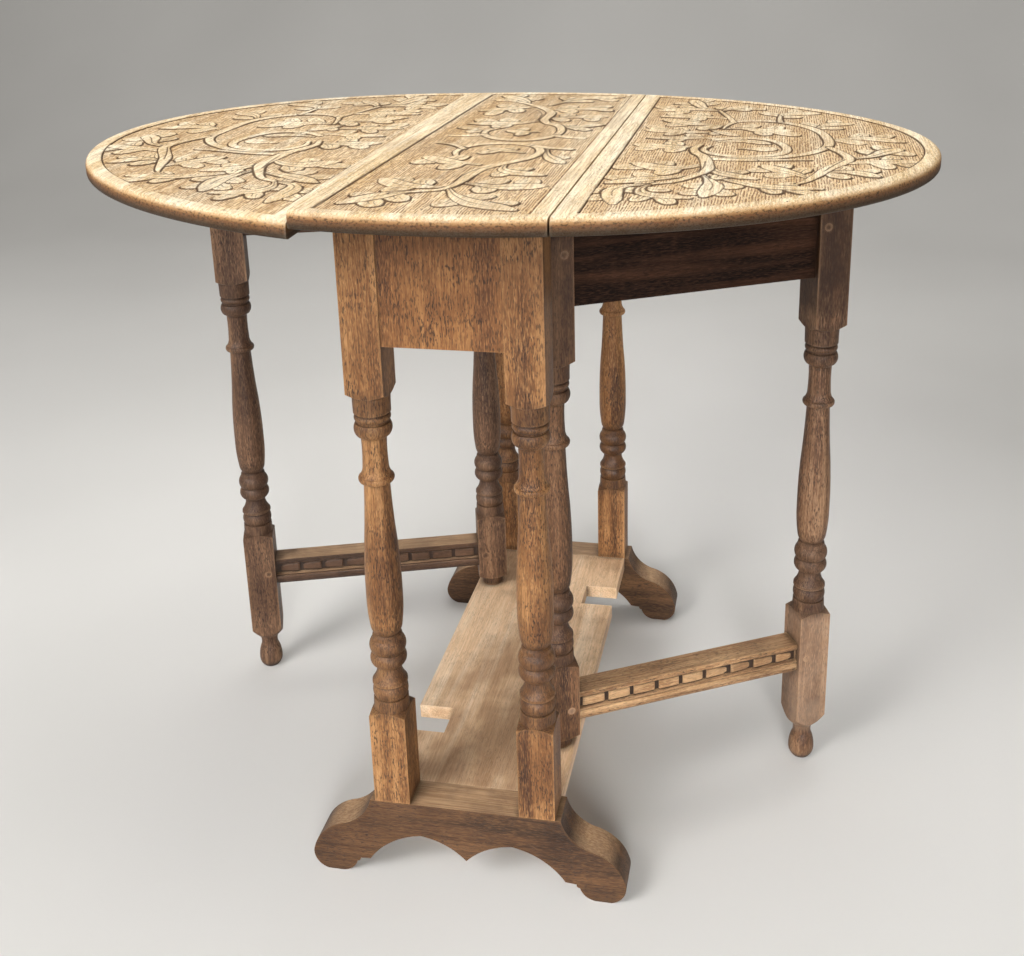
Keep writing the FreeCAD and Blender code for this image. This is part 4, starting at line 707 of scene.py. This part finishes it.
finishes = {
    "top_oak": oak("carved_top_oak", ((224, 194, 146), (244, 220, 180), (254, 242, 214)), ACROSS_Y, hollow_shade_and_dirt=0.15,
                   wear_and_highlight=0.1, carved=True, rough=0.5, pores_dark=0.4, stain=0.2, gloss=0.12),
    "apron_oak": oak("apron_oak", ((108, 68, 36), (140, 94, 52), (174, 126, 78)), wear_and_highlight=0.4),
    "leg_oak": oak("leg_oak", ((86, 53, 28), (132, 89, 50), (182, 136, 88)), wear_and_highlight=0.85, zones=TURNINGS),
    "foot_oak": oak("foot_oak", ((58, 38, 21), (88, 60, 36), (120, 86, 55)), ACROSS_X, wear_and_highlight=0.6,
                    dust_and_top_light=0.75),
    # Painted light: the shelf's tones are paled to stand for the light on its face.
    "shelf_oak": oak("shelf_oak", ((212, 174, 134), (232, 197, 158), (244, 219, 187)), ACROSS_Y, wear_and_highlight=0.4,
                     pores_dark=0.2, grain=0.5),
    "right_gate_oak": oak("right_gate_oak", ((68, 43, 28), (114, 80, 56), (174, 138, 105)), wear_and_highlight=0.75,
                          zones=RIGHT_LEG_ZONES),
    "left_gate_oak": oak("left_gate_oak", ((70, 47, 33), (102, 73, 53), (150, 116, 86)), wear_and_highlight=0.9,
                         zones=TURNINGS),
    # Painted shade: the rail's tones are darkened to stand for the shadow on it.
    "rail_oak": oak("rail_oak", ((13, 7, 5), (30, 18, 12), (84, 56, 40)), ACROSS_X, RIGHT_ANGLE, wear_and_highlight=0.2,
                    gloss=0.1),
    "plain_oak": oak("plain_oak", ((112, 76, 44), (146, 106, 66), (174, 134, 92)), ACROSS_Y),
    "hinge_iron": metal("hinge_iron", ((36, 33, 31), (72, 66, 60), (92, 58, 36)), 0.55),
    "screw_steel": metal("screw_steel", ((84, 80, 74), (128, 122, 114), (96, 70, 48)), 0.42),
}

# Four nodes differ from the others of their slot.
node_finishes = {
    "right_gate_stretcher": oak("right_stretcher_oak", ((118, 82, 52), (168, 126, 86), (212, 174, 130)),
                                ACROSS_X, RIGHT_ANGLE, hollow_shade_and_dirt=0.95, wear_and_highlight=0.5, dust_and_top_light=0.35),
    "left_gate_stretcher": oak("left_stretcher_oak", ((44, 29, 20), (70, 48, 33), (108, 78, 56)),
                               ACROSS_X, LEFT_ANGLE, hollow_shade_and_dirt=0.95, wear_and_highlight=0.4, dust_and_top_light=0.75),
    "right_gate_pivot_post": oak("pivot_post_oak", ((70, 45, 29), (106, 73, 48), (152, 114, 80)), wear_and_highlight=0.9,
                                 zones=RIGHT_POST_ZONES),
    "left_gate_top_rail": oak("left_rail_oak", ((48, 31, 21), (74, 51, 36), (106, 77, 56)),
                              ACROSS_X, LEFT_ANGLE),
}
# Painted shade: near-black oak for the plate seen in the gaps between the blocks.
grime_oak = oak("grime_oak", ((34, 23, 16), (48, 33, 23), (66, 47, 34)), ACROSS_X)


def dress(thing, finish):
    """One finish in all of a node's slots."""
    for k in range(len(thing.data.materials)):
        thing.data.materials[k] = finish


for thing in nodes.values():
    slot_names = [slot.name for slot in thing.data.materials if slot]
    for key, finish in finishes.items():
        if slot_names and key in slot_names[-1]:
            dress(thing, finish)
for name, finish in node_finishes.items():
    dress(nodes[name], finish)


def straight(points):
    """The centre board and the right leaf are cut as drawn."""
    return points


def wander(points):
    """The left leaf's drawing is the right one's mirror image, cut by eye and so not quite true."""
    moved = points.copy()
    moved[:, 0] = -points[:, 0] + STRAY_X * numpy.sin(points[:, 1] * 0.037 + 0.6)
    moved[:, 1] = points[:, 1] + STRAY_Y * numpy.sin(points[:, 0] * 0.041 + 1.9)
    return moved


centre = carved_board("carved_centre_board", -CENTRE_EDGE, CENTRE_EDGE, 1, CENTRE_PANEL,
                      CENTRE_BANDS, CENTRE_SPLITS, CENTRE_LEAVES, straight)
right = carved_board("carved_right_leaf", SEAM_EDGE, None, 1, LEAF_PANEL,
                     LEAF_BANDS, LEAF_SPLITS, LEAF_LEAVES, straight)
left = carved_board("carved_left_leaf", SEAM_EDGE, None, -1, LEAF_PANEL,
                    LEAF_BANDS, LEAF_SPLITS, LEAF_LEAVES, wander)
seam_end = HALF_DEPTH * math.sqrt(1.0 - (SEAM / HALF_LENGTH) ** 2)
droop = math.atan2(LEAF_SAG, 2.0 * seam_end)
lift = math.atan2(LEAF_RISE, HALF_LENGTH - SEAM)
corner = Vector((-SEAM_EDGE, seam_end, UNDERSIDE)) * MM
tilt = Matrix.Rotation(lift, 4, "Y") @ Matrix.Rotation(droop, 4, "X")
left.data.transform(Matrix.Translation(corner) @ tilt @ Matrix.Translation(-corner))
for piece, node, body in ((centre, "centre_top", "frame"), (right, "right_leaf", "right_leaf"),
                          (left, "left_leaf", "left_leaf")):
    piece.data.materials.append(finishes["top_oak"])
    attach(piece, body)
    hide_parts(node)

# A gate's stretcher, in millimetres along it from the pivot, out from its middle and up from the floor: the
# channel on each face, the chip-cut blocks in it, the bead below, and a thin dark plate behind, painted shade
# in the gaps between the blocks.
CHANNEL_FLOOR = 9.0
FACE_OUT = 12.0
CHANNEL_LOW = 137.0
CHANNEL_HIGH = 147.8
FIRST_BLOCK = 24.0
LAST_START = 252.0
BLOCKS_END = 270.0
BLOCK_SIZE = 22.0
BLOCK_SPARE = 3.5
BLOCK_GAP = 4.6
GOUGED_FROM = 150.0
BLOCK_ARRIS = 0.9
BLOCK_BEVEL = 0.5
BEAD_ENDS = (19.0, 275.0)
BEAD = ((FACE_OUT - 0.5, 127.2), (FACE_OUT + 0.5, 127.6), (FACE_OUT + 1.1, 129.0),
        (FACE_OUT + 1.2, 130.4), (FACE_OUT + 0.8, 131.9), (FACE_OUT - 0.5, 132.6))
PLATE_ENDS = (20.0, 274.0)
PLATE_DEPTHS = (CHANNEL_FLOOR - 0.4, CHANNEL_FLOOR + 0.25)
PLATE_HEIGHTS = (CHANNEL_LOW - 0.2, CHANNEL_HIGH + 0.2)
BLOCK_SEED = 7

# Faces of a block, which has five rows of four points and then four on the channel's floor, of the bead,
# which has two rows of six, and of the plate, which is a box.
BLOCK_FACES = [(4 * i + j, 4 * i + 4 + j, 4 * i + 5 + j, 4 * i + 1 + j) for i in range(4) for j in range(3)]
BLOCK_FACES += [(20, 0, 1, 2, 3, 21), (23, 19, 18, 17, 16, 22), (20, 22, 16, 12, 8, 4, 0),
                (3, 7, 11, 15, 19, 23, 21), (21, 23, 22, 20)]
BEAD_FACES = [(j, 6 + j, 7 + j, 1 + j) for j in range(5)]
BEAD_FACES += [(5, 11, 6, 0), (0, 1, 2, 3, 4, 5), (11, 10, 9, 8, 7, 6)]
PLATE_FACES = [(2, 6, 7, 3), (0, 1, 5, 4), (0, 4, 6, 2), (1, 3, 7, 5), (0, 2, 3, 1), (4, 5, 7, 6)]


def chip_block(start, face, rng):
    """The points of one block, and its length; the later ones are gouged away towards their far end."""
    size = min(BLOCK_SIZE + BLOCK_SPARE * rng.random(), BLOCKS_END - start)
    gouged = 0.0 if start < GOUGED_FROM else 0.55 + 0.45 * rng.random()
    near_end = FACE_OUT - 0.5 - 0.4 * rng.random()
    middle = FACE_OUT - 0.6 - 0.9 * gouged
    far_end = FACE_OUT - 0.9 - 1.4 * gouged
    points = []
    for share, out, trim in ((0.0, near_end - 0.6, 0.5), (0.08, near_end, 0.3),
                             (0.5, middle, 0.3 + 0.8 * gouged), (0.93, far_end, 0.4 + 2.2 * gouged),
                             (1.0, far_end - 0.6, 0.7 + 2.6 * gouged)):
        along = start + share * size
        for height, inner in ((CHANNEL_LOW + trim * 0.5, 1.0), (CHANNEL_LOW + BLOCK_ARRIS + trim * 0.5, 0.0),
                              (CHANNEL_HIGH - BLOCK_ARRIS - trim, 0.0), (CHANNEL_HIGH - trim, 1.0)):
            points.append((along, face * (out - 0.7 * inner + 0.2 * rng.random()), height))
    points += [(along, face * CHANNEL_FLOOR, height) for along in (start, start + size)
               for height in (CHANNEL_LOW, CHANNEL_HIGH)]
    return points, size


def stretcher_blocks(name, pivot, angle, rng):
    """The chip-cut blocks in the channel on each face of a gate's stretcher, with bead and a dark plate of
    painted shade behind.
    """
    points = []
    faces = []
    gap_shade_faces = []

    def put(more, corners, face):
        base = len(points)
        points.extend(more)
        made = [tuple(base + k for k in corner) for corner in corners]
        faces.extend(made if face < 0 else [corner[::-1] for corner in made])

    for face in (-1, 1):
        start = FIRST_BLOCK
        while start < LAST_START:
            block, size = chip_block(start, face, rng)
            put(block, BLOCK_FACES, face)
            start += size + BLOCK_GAP
        put([(along, face * out, height) for along in BEAD_ENDS for out, height in BEAD], BEAD_FACES, face)
        gap_shade_faces += range(len(faces), len(faces) + len(PLATE_FACES))
        put([(along, face * out, height) for along in PLATE_ENDS for out in PLATE_DEPTHS
             for height in PLATE_HEIGHTS], PLATE_FACES, face)
    turn = Matrix.Translation(Vector(pivot) * MM) @ Matrix.Rotation(angle, 4, "Z")
    mesh = bpy.data.meshes.new(name)
    mesh.from_pydata([tuple(turn @ (Vector(point) * MM)) for point in points], [], faces)
    for k in gap_shade_faces:
        mesh.polygons[k].material_index = 1
    blocks = linked(name, mesh)
    bevel = blocks.modifiers.new("arris", "BEVEL")
    bevel.width = BLOCK_BEVEL * MM
    bevel.segments = 2
    return blocks


for side_name, angle in (("right", RIGHT_ANGLE), ("left", LEFT_ANGLE)):
    blocks = stretcher_blocks(f"{side_name}_stretcher_blocks", GATE_PIVOTS[side_name], angle,
                              numpy.random.default_rng(BLOCK_SEED))
    blocks.data.materials.append(node_finishes[f"{side_name}_gate_stretcher"])
    blocks.data.materials.append(grime_oak)
    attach(blocks, f"{side_name}_gate")

# The floor, in metres: a level sheet that curves up into a wall behind the table.
FLOOR_HALF_WIDTH = 6.0
FLOOR_FRONT = -6.0
CURVE_START = 2.2
CURVE_RADIUS = 1.6
CURVE_STEPS = 8
WALL_HEIGHT = 5.0

sweep = [(FLOOR_FRONT, 0.0), (CURVE_START, 0.0)]
for k in range(1, CURVE_STEPS + 1):
    turn = QUARTER * k / CURVE_STEPS
    sweep.append((CURVE_START + CURVE_RADIUS * math.sin(turn), CURVE_RADIUS * (1.0 - math.cos(turn))))
sweep.append((CURVE_START + CURVE_RADIUS, WALL_HEIGHT))
floor_points = [(x, y, z) for y, z in sweep for x in (-FLOOR_HALF_WIDTH, FLOOR_HALF_WIDTH)]
floor_faces = [(2 * k, 2 * k + 1, 2 * k + 3, 2 * k + 2) for k in range(len(sweep) - 1)]
floor_mesh = bpy.data.meshes.new("floor")
floor_mesh.from_pydata(floor_points, [], floor_faces)
floor_mesh.polygons.foreach_set("use_smooth", [True] * len(floor_mesh.polygons))
floor = linked("floor", floor_mesh)
paper = Net("floor_paper")
cloud = paper.band(paper.noise(paper.place(), 1.3, 2.0), 0.3, 0.7)
paper.put(paper.shader, "Base Color", paper.mix(cloud, colour(206, 204, 200), colour(214, 212, 208)))
paper.put(paper.shader, "Roughness", 0.8)
floor_mesh.materials.append(paper.material)


def lamp(name, place, aim, size, power, spread=180.0):
    """A square area light: place, aim and size in metres, power in watts, spread in degrees."""
    light = bpy.data.lights.new(name, "AREA")
    light.shape = "RECTANGLE"
    light.size = size
    light.size_y = size
    light.energy = power
    light.spread = math.radians(spread)
    made = linked(name, light)
    made.location = place
    made.rotation_euler = (Vector(aim) - Vector(place)).to_track_quat("-Z", "Y").to_euler()


lamp("key_light", (-1.6, -2.2, 2.2), (0.0, 0.0, 0.45), 1.4, 86.0)
lamp("fill_light", (2.3, -1.6, 1.5), (0.0, 0.0, 0.4), 2.0, 4.0)
lamp("front_light", (0.7, -2.5, 0.9), (0.1, 0.0, 0.0), 1.0, 3.4, 32.0)
lamp("top_light", (0.1, 0.5, 2.6), (0.0, 0.0, 0.7), 1.8, 34.0)
world = bpy.data.worlds.new("studio")
world.use_nodes = True
sky = world.node_tree.nodes["Background"].inputs
sky["Color"].default_value = (1.0, 0.98, 0.95, 1.0)
sky["Strength"].default_value = 0.29
bpy.context.scene.world = world

# The camera as fitted to the photograph: frame and focal length in pixels, place in millimetres, and yaw,
# pitch and roll in degrees. The middle is the point of the frame that the camera looks straight at.
FRAME_WIDTH = 1024.0
FRAME_HEIGHT = 956.0
FOCAL_LENGTH = 1225.137
MIDDLE = (565.0, 300.0)
CAMERA_PLACE = (288.38, -1236.68, 939.28)
CAMERA_TURNS = (10.512, -17.771, -0.913)
SENSOR = 36.0

lens = bpy.data.cameras.new("camera")
camera = linked("camera", lens)
yaw, pitch, roll = (math.radians(turn) for turn in CAMERA_TURNS)
ahead = Vector((-math.sin(yaw) * math.cos(pitch), math.cos(yaw) * math.cos(pitch), math.sin(pitch)))
level = Vector((math.cos(yaw), math.sin(yaw), 0.0))
upward = level.cross(ahead)
across = level * math.cos(roll) + upward * math.sin(roll)
upward = upward * math.cos(roll) - level * math.sin(roll)
pose = Matrix((across, upward, -ahead)).transposed().to_4x4()
pose.translation = Vector(CAMERA_PLACE) * MM
camera.matrix_world = pose
lens.sensor_fit = "HORIZONTAL"
lens.sensor_width = SENSOR
lens.lens = FOCAL_LENGTH * SENSOR / FRAME_WIDTH
lens.shift_x = (FRAME_WIDTH / 2.0 - MIDDLE[0]) / FRAME_WIDTH
lens.shift_y = (MIDDLE[1] - FRAME_HEIGHT / 2.0) / FRAME_WIDTH
lens.clip_end = 60.0
bpy.context.scene.camera = camera
bpy.context.scene.view_settings.view_transform = "Standard"
